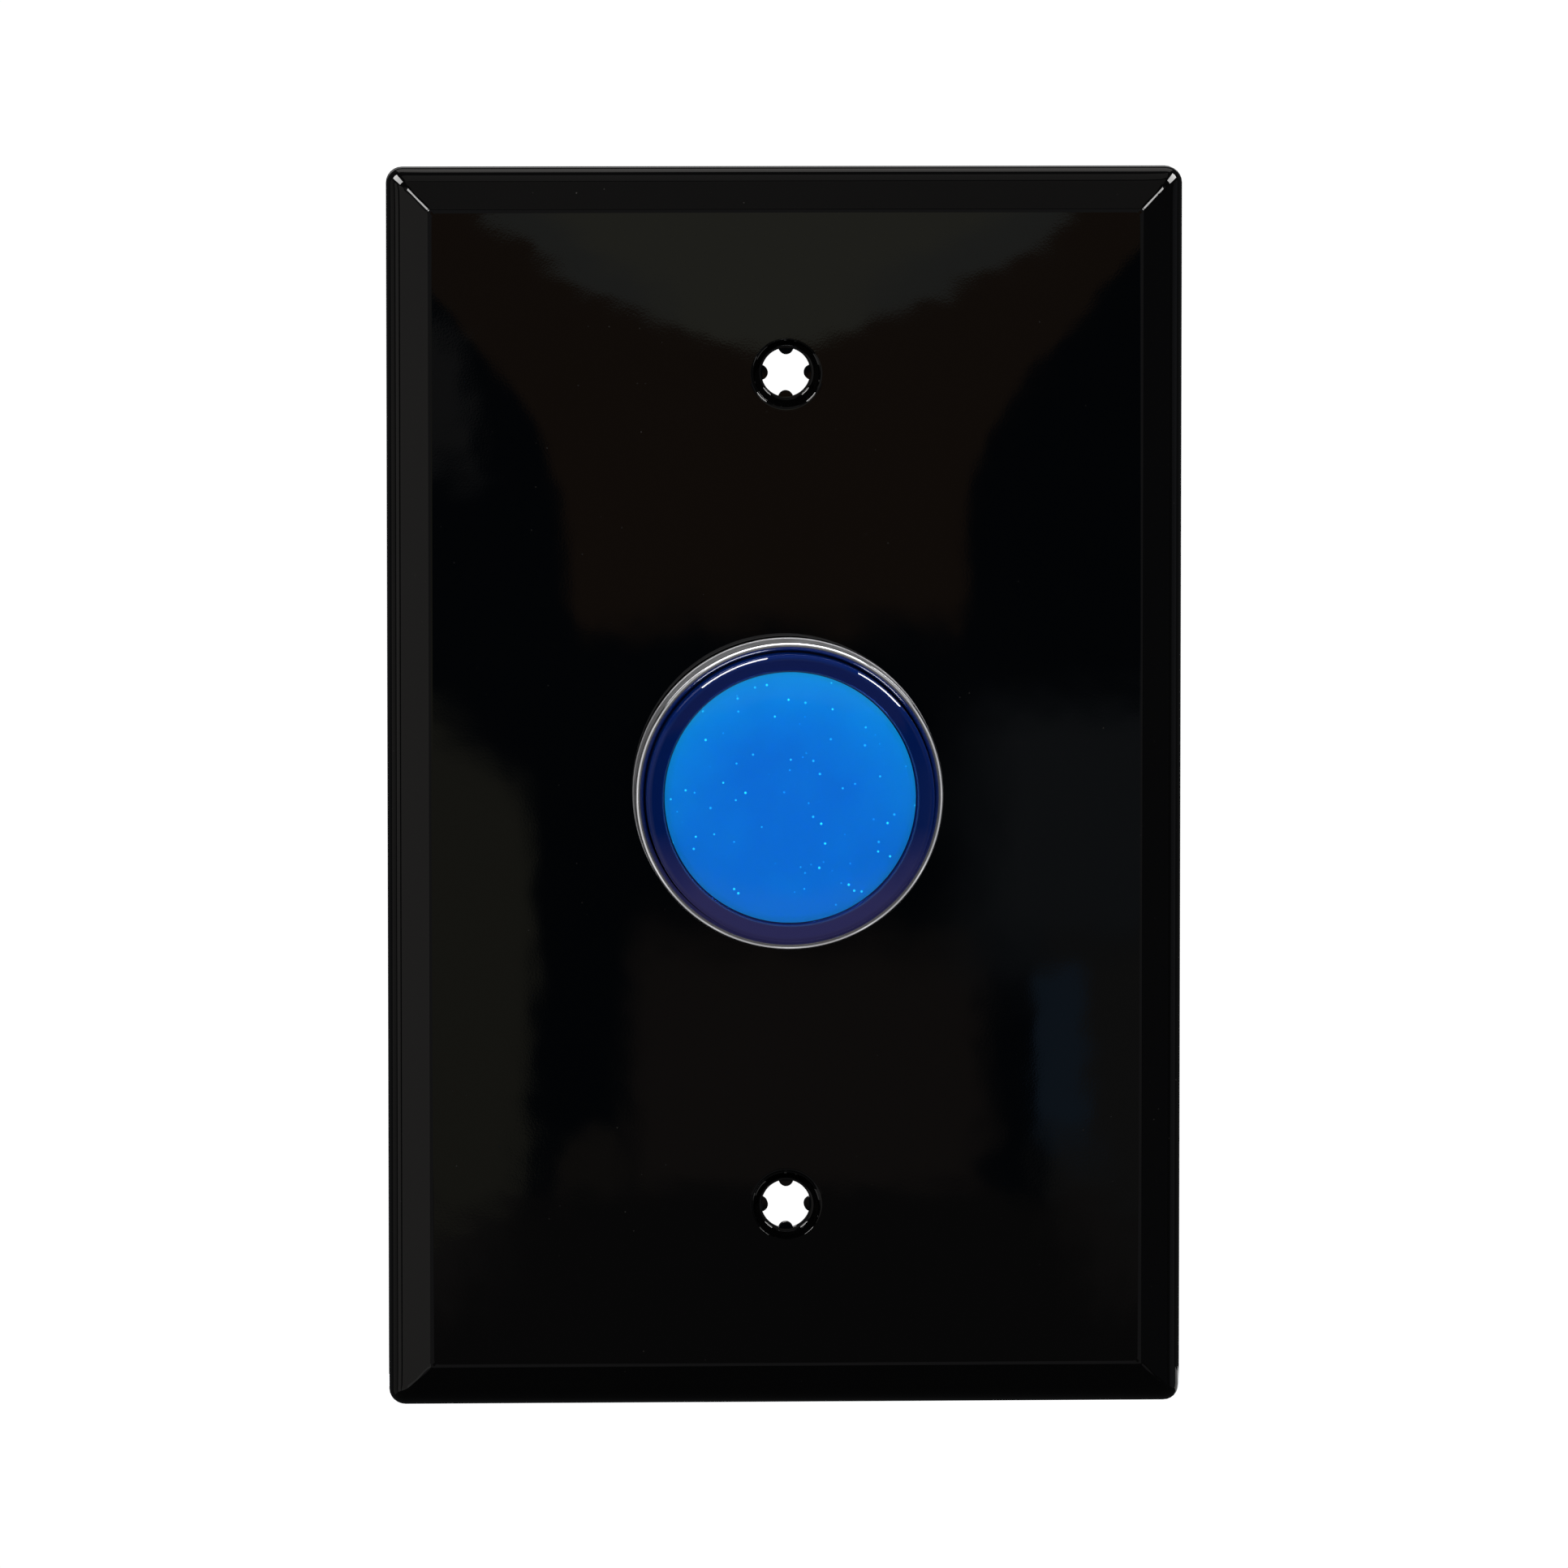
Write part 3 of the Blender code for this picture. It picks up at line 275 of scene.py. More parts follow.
def span(node):
    """A CAD node's box in millimetres, as ((x, x), (y, y), (z, z))."""
    low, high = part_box(node)
    return tuple((a / MM, b / MM) for a, b in zip(low, high))


def radius_of(node):
    return span(node)[0][1]


# ---------------------------------------------------------------- materials


class Look:
    """A Principled material and short ways to add procedural nodes to it."""

    def __init__(self, name, colour, roughness, metallic=0.0):
        self.material = bpy.data.materials.new(name)
        self.material.use_nodes = True
        self.tree = self.material.node_tree
        self.shader = self.tree.nodes["Principled BSDF"]
        self.set("Base Color", (*colour, 1.0))
        self.set("Roughness", roughness)
        self.set("Metallic", metallic)
        self.place = self.tree.nodes.new("ShaderNodeTexCoord").outputs["Object"]
        self.material.diffuse_color = (*colour, 1.0)

    def set(self, socket, value):
        self.shader.inputs[socket].default_value = value

    def link(self, out, into):
        self.tree.links.new(out, into)

    def node(self, kind, **values):
        made = self.tree.nodes.new(kind)
        for key, value in values.items():
            setattr(made, key, value)
        return made

    def from_axis(self):
        """Distance from the button's axis and height above it, in metres."""
        axes = self.node("ShaderNodeSeparateXYZ")
        self.link(self.place, axes.inputs["Vector"])
        across, up = axes.outputs["X"], axes.outputs["Z"]
        squares = self.math("ADD", self.math("MULTIPLY", across, across), self.math("MULTIPLY", up, up))
        return self.math("SQRT", squares, 0.0), up

    def noise(self, scale, detail=3.0, roughness=0.5, stretch=None):
        """Noise from 0 to 1 at so many cells in a metre."""
        made = self.node("ShaderNodeTexNoise")
        made.inputs["Scale"].default_value = scale
        made.inputs["Detail"].default_value = detail
        made.inputs["Roughness"].default_value = roughness
        place = self.place
        if stretch:
            mapping = self.node("ShaderNodeMapping")
            mapping.inputs["Scale"].default_value = stretch
            self.link(place, mapping.inputs["Vector"])
            place = mapping.outputs["Vector"]
        self.link(place, made.inputs["Vector"])
        return made.outputs["Fac"]

    def specks(self, scale, size):
        """Small round specks: 1 inside, 0 outside. Size is a share of a cell."""
        cells = self.node("ShaderNodeTexVoronoi")
        cells.inputs["Scale"].default_value = scale
        self.link(self.place, cells.inputs["Vector"])
        return self.remap(cells.outputs["Distance"], size, size * 0.6, 0.0, 1.0)

    def remap(self, value, low, high, to_low, to_high):
        made = self.node("ShaderNodeMapRange")
        for socket, number in zip(
            ("From Min", "From Max", "To Min", "To Max"), (low, high, to_low, to_high)
        ):
            made.inputs[socket].default_value = number
        self.link(value, made.inputs["Value"])
        return made.outputs["Result"]

    def math(self, operation, first, second):
        made = self.node("ShaderNodeMath", operation=operation)
        for socket, value in zip(made.inputs, (first, second)):
            if isinstance(value, (int, float)):
                socket.default_value = value
            else:
                self.link(value, socket)
        return made.outputs["Value"]

    def mix(self, share, first, second):
        """A colour between two others. Each is a colour or a socket."""
        made = self.node("ShaderNodeMix", data_type="RGBA")
        factor = made.inputs[0]
        colours = [socket for socket in made.inputs if socket.type == "RGBA"]
        if isinstance(share, (int, float)):
            factor.default_value = share
        else:
            self.link(share, factor)
        for socket, value in zip(colours, (first, second)):
            if isinstance(value, tuple):
                socket.default_value = (*value, 1.0)
            else:
                self.link(value, socket)
        return [out for out in made.outputs if out.type == "RGBA"][0]

    def colour(self, out):
        self.link(out, self.shader.inputs["Base Color"])

    def rough(self, out):
        self.link(out, self.shader.inputs["Roughness"])

    def bump(self, height, strength, distance, after=None):
        made = self.node("ShaderNodeBump")
        made.inputs["Strength"].default_value = strength
        made.inputs["Distance"].default_value = distance
        self.link(height, made.inputs["Height"])
        if after is not None:
            self.link(after, made.inputs["Normal"])
        self.link(made.outputs["Normal"], self.shader.inputs["Normal"])
        return made.outputs["Normal"]


def plate_look():
    """Polished black moulding: slightly wavy, with fine dust and faint wiping marks."""
    look = Look("plate_black_gloss", (0.0009, 0.0009, 0.001), 0.05)
    dust = look.math("MULTIPLY", look.specks(620.0, 0.055), look.remap(look.noise(90.0), 0.5, 0.7, 0.0, 1.0))
    tone = look.mix(look.noise(55.0, 4.0), (0.0005, 0.0005, 0.0006), (0.0014, 0.0013, 0.0013))
    look.colour(look.mix(dust, tone, (0.045, 0.042, 0.04)))
    smear = look.noise(34.0, 5.0, 0.6, (1.0, 1.0, 0.35))
    look.rough(look.math("ADD", look.remap(smear, 0.35, 0.75, 0.010, 0.034), look.math("MULTIPLY", dust, 0.5)))
    waves = look.bump(look.noise(85.0, 2.0), 0.25, 0.00006)
    look.bump(look.noise(5200.0, 2.0), 0.014, 0.00002, waves)
    look.set("IOR", 1.5)
    return look.material


def moulded_look(name, colour, roughness, grain=3200.0, grain_strength=0.25):
    """Satin moulding with a fine spark-eroded grain, slight tone changes and rubbed patches."""
    look = Look(name, colour, roughness)
    light = tuple(min(c * 1.35 + 0.002, 1.0) for c in colour)
    dark = tuple(c * 0.78 for c in colour)
    look.colour(look.mix(look.remap(look.noise(160.0, 5.0), 0.3, 0.7, 0.0, 1.0), dark, light))
    look.rough(look.remap(look.noise(220.0, 4.0), 0.3, 0.7, roughness * 0.8, roughness * 1.25))
    grains = look.bump(look.noise(grain, 2.0), grain_strength, 0.00004)
    look.bump(look.noise(260.0, 2.0), 0.2, 0.00005, grains)
    return look.material


def metal_look(name, colour, roughness, stretch=(1.0, 1.0, 1.0), grain=2400.0, tint=None):
    """Metal with fine drawn or plated marks, uneven sheen and faint stains."""
    look = Look(name, colour, roughness, 1.0)
    other = tint or tuple(c * 0.8 for c in colour)
    look.colour(look.mix(look.remap(look.noise(260.0, 5.0), 0.4, 0.75, 0.0, 1.0), colour, other))
    look.rough(look.remap(look.noise(420.0, 5.0, 0.6), 0.3, 0.7, roughness * 0.7, roughness * 1.4))
    look.bump(look.noise(grain, 3.0, 0.6, stretch), 0.18, 0.00003)
    return look.material


def bezel_look():
    """Bright plated ring: a polished lip and a satin outer side, with fine marks."""
    look = Look("bezel_bright", (0.74, 0.74, 0.76), 0.2, 1.0)
    stains = look.remap(look.noise(260.0, 5.0), 0.4, 0.75, 0.0, 1.0)
    look.colour(look.mix(stains, (0.76, 0.77, 0.80), (0.64, 0.64, 0.66)))
    radius, _ = look.from_axis()
    side = look.remap(radius, BEZEL_SIDE_START, BEZEL_SIDE_START + 0.0001, 0.16, 0.58)
    look.rough(look.math("ADD", side, look.remap(look.noise(420.0, 5.0), 0.3, 0.7, -0.03, 0.04)))
    look.bump(look.noise(2400.0, 3.0, 0.6), 0.12, 0.00003)
    return look.material


def cap_look():
    """Clear deep blue moulding, polished, with faint moulding marks. Its wall has painted shade, a dark navy base
    colour, and painted light, a glow that turns purple towards the bottom.
    """
    look = Look("cap_clear_blue", (0.10, 0.38, 0.93), 0.015)
    clear = look.mix(look.noise(120.0, 3.0), (0.09, 0.36, 0.92), (0.11, 0.40, 0.94))
    radius, up = look.from_axis()
    wall = look.remap(radius, CAP_WALL_START, CAP_WALL_START + 0.0002, 0.0, 1.0)
    # Painted shade: the wall's base colour is darkened to deep navy.
    look.colour(look.mix(wall, clear, (0.0015, 0.008, 0.06)))
    # Painted light: the wall glows, more purple towards the bottom, with a noisy edge between the two.
    unevenness = look.remap(look.noise(200.0), 0.3, 0.7, -0.001, 0.001)
    low = look.remap(look.math("ADD", up, unevenness), -0.003, -0.010, 0.0, 1.0)
    lit = look.mix(low, (0.0, 0.007, 0.06), (0.03, 0.026, 0.09))
    look.link(look.mix(wall, (0.0, 0.0, 0.0), lit), look.shader.inputs["Emission Color"])
    look.set("Emission Strength", 0.6)
    look.link(look.remap(wall, 0.0, 1.0, 1.0, 0.55), look.shader.inputs["Transmission Weight"])
    look.set("IOR", 1.49)
    look.bump(look.noise(240.0, 2.0), 0.06, 0.00003)
    return look.material


def diffuser_look():
    """Translucent disc whose emission is painted light, standing in for the light that reaches it through the cap: a
    little brighter towards its upper edge as painted light, with fine dust.
    """
    look = Look("disc_blue_painted_light", (0.0, 0.12, 0.5), 0.45)
    radius, up = look.from_axis()
    # Painted light: brighter towards the disc's outer edge and its top.
    edge = look.remap(radius, 0.004, 0.0125, 0.0, 1.0)
    high = look.remap(up, -0.006, 0.011, 0.0, 1.0)
    painted_edge_light = look.math("MULTIPLY", edge, high)
    patches = look.remap(look.noise(240.0, 4.0), 0.3, 0.7, -0.06, 0.06)
    painted_light_and_patches = look.math("ADD", look.math("MULTIPLY", painted_edge_light, 0.8), patches)
    lit = look.mix(painted_light_and_patches, (0.0, 0.33, 0.36), (0.0, 0.72, 0.60))
    dust = look.math("MULTIPLY", look.specks(900.0, 0.12), look.remap(look.noise(420.0), 0.42, 0.62, 0.0, 1.0))
    shown = look.mix(dust, lit, (0.3, 3.0, 2.2))
    # The emission colour is painted light, with the dust specks laid over it.
    look.link(shown, look.shader.inputs["Emission Color"])
    look.set("Emission Strength", 1.0)
    look.set("Specular IOR Level", 0.2)
    look.bump(look.noise(1800.0, 2.0), 0.2, 0.00003)
    return look.material


def clear_look(name, colour):
    """Clear moulding with faint flow marks."""
    look = Look(name, colour, 0.03)
    look.colour(look.mix(look.noise(300.0, 3.0), colour, tuple(c * 0.92 for c in colour)))
    look.set("Transmission Weight", 0.9)
    look.set("IOR", 1.5)
    look.bump(look.noise(500.0, 2.0), 0.1, 0.00003)
    return look.material


def rubber_look():
    look = Look("gasket_rubber", (0.02, 0.02, 0.02), 0.8)
    look.colour(look.mix(look.noise(900.0, 4.0), (0.014, 0.014, 0.014), (0.04, 0.039, 0.037)))
    look.rough(look.remap(look.noise(700.0, 3.0), 0.3, 0.7, 0.65, 0.9))
    look.bump(look.noise(4200.0, 3.0), 0.4, 0.00005)
    return look.material


# ---------------------------------------------------------------- wall plate


def plate_size():
    (left, right), (front, _), (low, high) = span("wall_plate")
    return (right - left) / 2, (high - low) / 2, -front


def face_height(x, z):
    half_width, half_height, depth = plate_size_once
    across = x / (half_width - PLATE_BORDER)
    up = z / (half_height - PLATE_BORDER)
    return depth - PLATE_CROWN * (1 - (1 - across**2) * (1 - up**2))


def face_normal(x, z):
    """The crowned face's outward normal."""
    half_width, half_height, _ = plate_size_once
    wide, tall = half_width - PLATE_BORDER, half_height - PLATE_BORDER
    slope_x = -2 * PLATE_CROWN * x / wide**2 * (1 - (z / tall) ** 2)
    slope_z = -2 * PLATE_CROWN * z / tall**2 * (1 - (x / wide) ** 2)
    return Vector((-slope_x, -1.0, -slope_z)).normalized()


def plate_loop(inset, height, corner_floor, steps_wide=40, steps_tall=64, corner_steps=6):
    """Points round the plate at one inset: corner arcs joined by evenly divided sides."""
    half_width = plate_size_once[0] - inset
    half_height = plate_size_once[1] - inset
    corner = max(PLATE_CORNER - inset * 0.5, corner_floor)
    corners = ((1, 1, 0), (-1, 1, 90), (-1, -1, 180), (1, -1, 270))
    points = []
    for number, (right, up, start) in enumerate(corners):
        centre = (right * (half_width - corner), up * (half_height - corner))
        points += arc(centre, corner, start, start + 90, corner_steps)
        right_after, up_after, start_after = corners[(number + 1) % 4]
        centre_after = (right_after * (half_width - corner), up_after * (half_height - corner))
        last = arc(centre_after, corner, start_after, start_after + 90, corner_steps)[0]
        first = points[-1]
        divisions = steps_wide if number % 2 == 0 else steps_tall
        for step in range(1, divisions):
            share = step / divisions
            points.append(tuple(a + (b - a) * share for a, b in zip(first, last)))
    return [(x, -height, z) for x, z in points]


def border_profile():
    """(inset, height) points of the plate's edge, from its back rim to the face's crease."""
    depth = plate_size_once[2]
    roll = []
    for step in range(13):
        angle = PLATE_ROLL_TURN * step / 12
        inset = PLATE_ROLL_WIDTH * (1 - math.cos(angle)) / (1 - math.cos(PLATE_ROLL_TURN))
        height = PLATE_SIDE + PLATE_ROLL_HEIGHT * math.sin(angle) / math.sin(PLATE_ROLL_TURN)
        roll.append((inset, height))
    crease_height = depth - PLATE_CROWN
    slope = (crease_height - roll[-1][1]) / (PLATE_BORDER - roll[-1][0])
    points = [(0.15, 0.0), (0.04, 0.04), (0.0, 0.15), *roll]
    points.append((2.5, roll[-1][1] + slope * 0.5 + 0.03))
    points.append((3.4, roll[-1][1] + slope * 1.4 + 0.02))
    points.append((3.85, crease_height - slope * 0.35))
    points.append((3.95, crease_height - slope * 0.245))
    points.append((4.05, crease_height - slope * 0.12))
    points.append((4.2, crease_height - 0.02))
    return points


def plate_shell():
    """The plate's outside with a crowned face that runs in rings to its bore, and the recess behind it."""
    maker = bmesh.new()
    depth = plate_size_once[2]
    ceiling = depth - PLATE_WALL
    inside = [
        (PLATE_RIM + PLATE_DRAFT + 1.0, ceiling), (PLATE_RIM + PLATE_DRAFT + 0.5, ceiling),
        (PLATE_RIM + PLATE_DRAFT + 0.12, ceiling - 0.12),
        (PLATE_RIM + PLATE_DRAFT, ceiling - 0.5),
        (PLATE_RIM + 0.05, 0.15),
        (PLATE_RIM - 0.1, 0.0),
    ]
    loops = []
    for inset, height in inside + border_profile():
        floor = PLATE_MITRE if inset < PLATE_BORDER else 0.5
        loops.append([maker.verts.new(p) for p in plate_loop(inset, height, floor)])
    edge = plate_loop(PLATE_BORDER + 0.25, 0.0, PLATE_MITRE)
    rings = 44
    for ring in range(rings + 1):
        share = ring / rings
        row = []
        for x, _, z in edge:
            length = math.hypot(x, z)
            goal_x, goal_z = x / length * PLATE_BORE, z / length * PLATE_BORE
            px, pz = x + (goal_x - x) * share, z + (goal_z - z) * share
            row.append(maker.verts.new((px, -face_height(px, pz), pz)))
        loops.append(row)
    for growth in (1.0, 1.02):
        loops.append([
            maker.verts.new((vert.co.x * growth, -ceiling, vert.co.z * growth)) for vert in loops[-1]
        ])
    for inner, outer in zip(loops, loops[1:]):
        for here in range(len(inner)):
            after = (here + 1) % len(inner)
            maker.faces.new((inner[here], inner[after], outer[after], outer[here]))
    first, last = loops[0], loops[-1]
    for here in range(len(first)):
        after = (here + 1) % len(first)
        maker.faces.new((last[here], last[after], first[after], first[here]))
    return maker


def nubbed_outline(centre_z, steps=12):
    """A round hole with a half-round nub reaching in at each quarter."""
    nub = HOLE_RADIUS - NUB_REACH + NUB_RADIUS
    hole_angle = math.acos((nub**2 + HOLE_RADIUS**2 - NUB_RADIUS**2) / (2 * nub * HOLE_RADIUS))
    nub_angle = math.atan2(
        HOLE_RADIUS * math.sin(hole_angle), HOLE_RADIUS * math.cos(hole_angle) - nub
    )
    hole_turn, nub_turn = math.degrees(hole_angle), math.degrees(nub_angle)
    outline = []
    for quarter in range(4):
        turn = 90.0 * quarter
        centre = (nub * math.cos(math.radians(turn)), nub * math.sin(math.radians(turn)))
        outline += arc(centre, NUB_RADIUS, turn + 360 - nub_turn, turn + nub_turn, steps)
        outline += arc((0.0, 0.0), HOLE_RADIUS, turn + hole_turn, turn + 90 - hole_turn, steps)[1:-1]
    return [(x, z + centre_z) for x, z in outline]


def dish_cutter(centre_z):
    """The dish round a screw hole, with a rounded lip that meets the crowned face."""
    wall = [
        (0.0, -2.0, 0.0),
        (DISH_RADIUS + DISH_LIP, -2.0, 0.0),
        (DISH_RADIUS + DISH_LIP, 0.0, 0.0),
        (DISH_RADIUS, 0.0, DISH_LIP),
        (DISH_RADIUS - 0.22, 0.34, 0.2),
        (DISH_FLOOR_RADIUS, DISH_DEPTH, 0.15),
        (0.0, DISH_DEPTH, 0.0),
    ]
    maker = turned(filleted(wall), ROUND)
    tilt = math.atan2(-face_normal(0.0, centre_z).z, 1.0)
    bmesh.ops.rotate(maker, verts=maker.verts, matrix=Matrix.Rotation(-tilt, 3, "X"))
    move = (0.0, -face_height(0.0, centre_z), centre_z)
    bmesh.ops.translate(maker, verts=maker.verts, vec=move)
    return maker


def smooth_face(piece):
    """Sets the crowned face's shading from its own curve, so that its reflections stay clean round the holes."""
    mesh = piece.data
    half_width, half_height, _ = plate_size_once
    normals = [Vector(corner.vector) for corner in mesh.corner_normals]
    for polygon in mesh.polygons:
        centre = polygon.center / MM
        inside_x = abs(centre.x) < half_width - PLATE_BORDER - 0.2
        inside_z = abs(centre.z) < half_height - PLATE_BORDER - 0.2
        near = abs(-centre.y - face_height(centre.x, centre.z)) < 0.03
        if not (inside_x and inside_z and near and polygon.normal.y < -0.99):
            continue
        for loop in polygon.loop_indices:
            point = mesh.vertices[mesh.loops[loop].vertex_index].co / MM
            normals[loop] = face_normal(point.x, point.z)
    mesh.normals_split_custom_set(normals)


def make_wall_plate():
    plate = mesh_object("wall_plate_shell", plate_shell(), math.radians(30.0))
    for centre_z in (SCREW_SPACING / 2, -SCREW_SPACING / 2):
        combine(plate, "DIFFERENCE", [dish_cutter(centre_z)])
        combine(plate, "DIFFERENCE", [prism(nubbed_outline(centre_z), -12.0, 2.0)])
    plate.data.shade_smooth()
    plate.data.set_sharp_from_angle(angle=math.radians(30.0))
    smooth_face(plate)
    finish_piece(plate, LOOKS["plate"], "plate_black", "housing", "wall_plate")


# ---------------------------------------------------------------- front pieces


def make_gasket():
    _, (front, back), _ = span("panel_gasket")
    outer = radius_of("panel_gasket")
    corners = [
        (PLATE_BORE, front, 0.1), (outer, front, 0.3), (outer, back, 0.3), (PLATE_BORE, back, 0.1),
    ]
    piece = mesh_object("gasket_ring", turned(filleted(corners), FINE))
    finish_piece(piece, LOOKS["rubber"], "gasket_rubber", "housing", "panel_gasket")


def make_bezel():
    _, (lip, back), _ = span("bezel_ring")
    outer = radius_of("bezel_ring")
    inner = outer - BEZEL_LIP
    step = back - 0.8
    corners = [
        (PLATE_BORE, back, 0.1), (outer, back, 0.12), (outer, back - 0.5, 0.1),
        (outer - 0.1, back - 0.62, 0.1), (outer - 0.1, lip + 0.6, 0.0),
    ]
    half_lip = (BEZEL_LIP - 0.1) / 2
    top = arc((inner + half_lip, lip + half_lip), half_lip, 0, -180, 24)
    profile = filleted(corners, closed=False) + top
    profile += filleted([(inner, step - 0.6, 0.0), (inner, step, 0.2), (PLATE_BORE, step, 0.0)], closed=False)
    piece = mesh_object("bezel_polished", turned(profile, FINE))
    finish_piece(piece, LOOKS["chrome"], "bright_metal", "housing", "bezel_ring")


def make_cap():
    _, (face, back), _ = span("lens_cap")
    outer = radius_of("lens_cap")
    bore = outer - 1.5
    ceiling = face + 1.6
    edge = arc((outer - CAP_EDGE, face + CAP_EDGE), CAP_EDGE, -90, 0, 16)
    profile = [(0.0, face), (outer * 0.5, face), *edge]
    profile += filleted([(outer, face + 1.4, 0.0), (outer, back, 0.2), (bore, back, 0.15), (bore, back - 0.4, 0.0)], False)
    profile += filleted([(bore, ceiling + 0.8, 0.0), (bore, ceiling, 0.35), (bore - 1.0, ceiling, 0.0)], False)
    profile += [(0.0, ceiling)]
    piece = mesh_object("cap_moulding", turned(profile, FINE))
    finish_piece(piece, LOOKS["cap"], "lens_blue", "plunger", "lens_cap")


def make_disc():
    _, (front, back), _ = span("diffuser_disc")
    outer = radius_of("diffuser_disc")
    corners = [
        (0.0, front, 0.0), (outer - 0.5, front, 0.3), (outer, front + 0.25, 0.2), (outer, back, 0.1), (0.0, back, 0.0),
    ]
    piece = mesh_object("disc_diffuser", turned(filleted(corners), FINE))
    finish_piece(piece, LOOKS["disc"], "diffuser_blue", "plunger", "diffuser_disc")


def make_sleeve():
    (_, wide), (front, leg_tip), _ = span("plunger_sleeve")
    head = wide
    skin, bore = 11.5, 10.2
    web_front, web_back, web_hole, rear = -3.6, -2.2, 6.53, 6.0
    corners = [
        (bore, front, 0.15), (head, front, 0.15), (head, front + 0.7, 0.1), (skin, front + 0.7, 0.1),
        (skin, rear, 0.3), (bore, rear, 0.3), (bore, web_back, 0.5), (web_hole, web_back, 0.2),
        (web_hole, web_front, 0.2), (bore, web_front, 0.5),
    ]
    piece = mesh_object("sleeve_moulding", turned(filleted(corners), FINE))
    leg = block((7.65, rear - 4.0, -5.99), (9.64, leg_tip, -3.99), 0.2)
    combine(piece, "UNION", [leg])
    piece.data.shade_smooth()
    piece.data.set_sharp_from_angle(angle=SHARP_ANGLE)
    finish_piece(piece, LOOKS["white"], "moulded_white", "plunger", "plunger_sleeve")


# ---------------------------------------------------------------- barrel and what clamps it


def thread_ridge(root, crest, start, end, pitch, steps=64):
    """A bmesh of one helical ridge with tapered ends."""
    maker = bmesh.new()
    turns = (end - start) / pitch
    total = int(turns * steps)
    rings = []
    for step in range(total + 1):
        turn = step / steps
        angle = 2 * math.pi * turn
        fade = min(1.0, turn * 4, (turns - turn) * 4)
        height = (crest - root) * max(fade, 0.02)
        middle = start + pitch * turn
        profile = [
            (root - 0.05, middle - pitch * 0.46), (root + height * 0.92, middle - pitch * 0.14),
            (root + height, middle - pitch * 0.06), (root + height, middle + pitch * 0.06),
            (root + height * 0.92, middle + pitch * 0.14), (root - 0.05, middle + pitch * 0.46),
        ]
        rings.append([
            maker.verts.new((r * math.cos(angle), s, r * math.sin(angle))) for r, s in profile
        ])
    for here, after in zip(rings, rings[1:]):
        for side in range(len(here)):
            next_side = (side + 1) % len(here)
            maker.faces.new((here[side], here[next_side], after[next_side], after[side]))
    maker.faces.new(rings[0])
    maker.faces.new(rings[-1][::-1])
    return maker


def make_barrel():
    flange = radius_of("barrel")
    _, (front, rear), _ = span("barrel")
    bore, crest, root, hole = 11.8, 13.18, 12.6, 5.3
    floor_front = rear - 1.6
    corners = [
        (bore, front, 0.15), (flange, front, 0.15), (flange, front + 1.0, 0.15), (crest, front + 1.0, 0.1),
        (crest, -4.6, 0.3), (root, -4.2, 0.1), (root, rear, 0.3), (hole, rear, 0.2),
        (hole, floor_front, 0.2), (bore, floor_front, 0.4),
    ]
    piece = mesh_object("barrel_moulding", turned(filleted(corners), FINE))
    slot = block((7.35, floor_front - 2.0, -6.29), (9.95, rear + 2.0, -3.69), 0.15)
    combine(piece, "DIFFERENCE", [slot])
    add_to(piece, thread_ridge(root, crest, -3.6, 4.3, 1.5))
    finish_piece(piece, LOOKS["black"], "moulded_black", "housing", "barrel")


def make_washer():
    _, (front, back), _ = span("lock_washer")
    outer = radius_of("lock_washer")
    teeth = 28
    outline = []
    for tooth in range(teeth):
        for share, radius in ((0.08, outer), (0.55, outer), (0.66, outer - 1.25), (0.97, outer - 1.25)):
            angle = 2 * math.pi * (tooth + share) / teeth
            outline.append((radius * math.cos(angle), radius * math.sin(angle)))
    piece = mesh_object("washer_toothed", prism(outline, front, back))
    combine(piece, "DIFFERENCE", [turned([(0, front - 1), (PLATE_BORE, front - 1), (PLATE_BORE, back + 1), (0, back + 1)], FINE)])
    soften(piece, 0.12)
    finish_piece(piece, LOOKS["zinc"], "zinc_steel", "housing", "lock_washer")


def make_nut():
    _, (front, back), (_, corner) = span("mounting_nut")
    six = arc((0.0, 0.0), corner, 30, 330, 5)
    piece = mesh_object("nut_hexagonal", prism(six, front, back))
    bevel = corner - 1.6
    shape = [(0.0, front), (bevel, front), (corner + 0.1, front + 1.1), (corner + 0.1, back - 1.1), (bevel, back), (0.0, back)]
    combine(piece, "INTERSECT", [turned(shape, FINE)])
    bore = filleted([
        (0.0, front - 1, 0), (15.0, front - 1, 0), (13.5, front + 0.6, 0), (13.5, back - 0.6, 0),
        (15.0, back + 1, 0), (0.0, back + 1, 0),
    ])
    combine(piece, "DIFFERENCE", [turned(bore, FINE)])
    soften(piece, 0.15)
    finish_piece(piece, LOOKS["black"], "moulded_black", "housing", "mounting_nut")


def make_spring():
    _, (front, back), _ = span("return_spring")
    coil, wire, turns, steps, sides = 7.927, 0.4, 5, 40, 12
    first, last = front + wire, back - wire
    closed = 2 * wire + 0.3
    maker = bmesh.new()
    rings = []
    for step in range(turns * steps + 1):
        turn = step / steps
        if turn <= 1:
            station = first + closed * turn
        elif turn >= turns - 1:
            station = last - closed * (turns - turn)
        else:
            station = first + closed + (last - first - 2 * closed) * (turn - 1) / (turns - 2)
        angle = 2 * math.pi * turn
        ring = []
        for side in range(sides):
            around = 2 * math.pi * side / sides
            radius = coil + wire * math.cos(around)
            ring.append(maker.verts.new((radius * math.cos(angle), station + wire * math.sin(around), radius * math.sin(angle))))
        rings.append(ring)
    for here, after in zip(rings, rings[1:]):
        for side in range(sides):
            next_side = (side + 1) % sides
            maker.faces.new((here[side], here[next_side], after[next_side], after[side]))
    maker.faces.new(rings[0])
    maker.faces.new(rings[-1][::-1])
    piece = mesh_object("spring_wire", maker)
    finish_piece(piece, LOOKS["spring"], "spring_steel", "housing", "return_spring")
    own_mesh(piece)


# ---------------------------------------------------------------- lamp


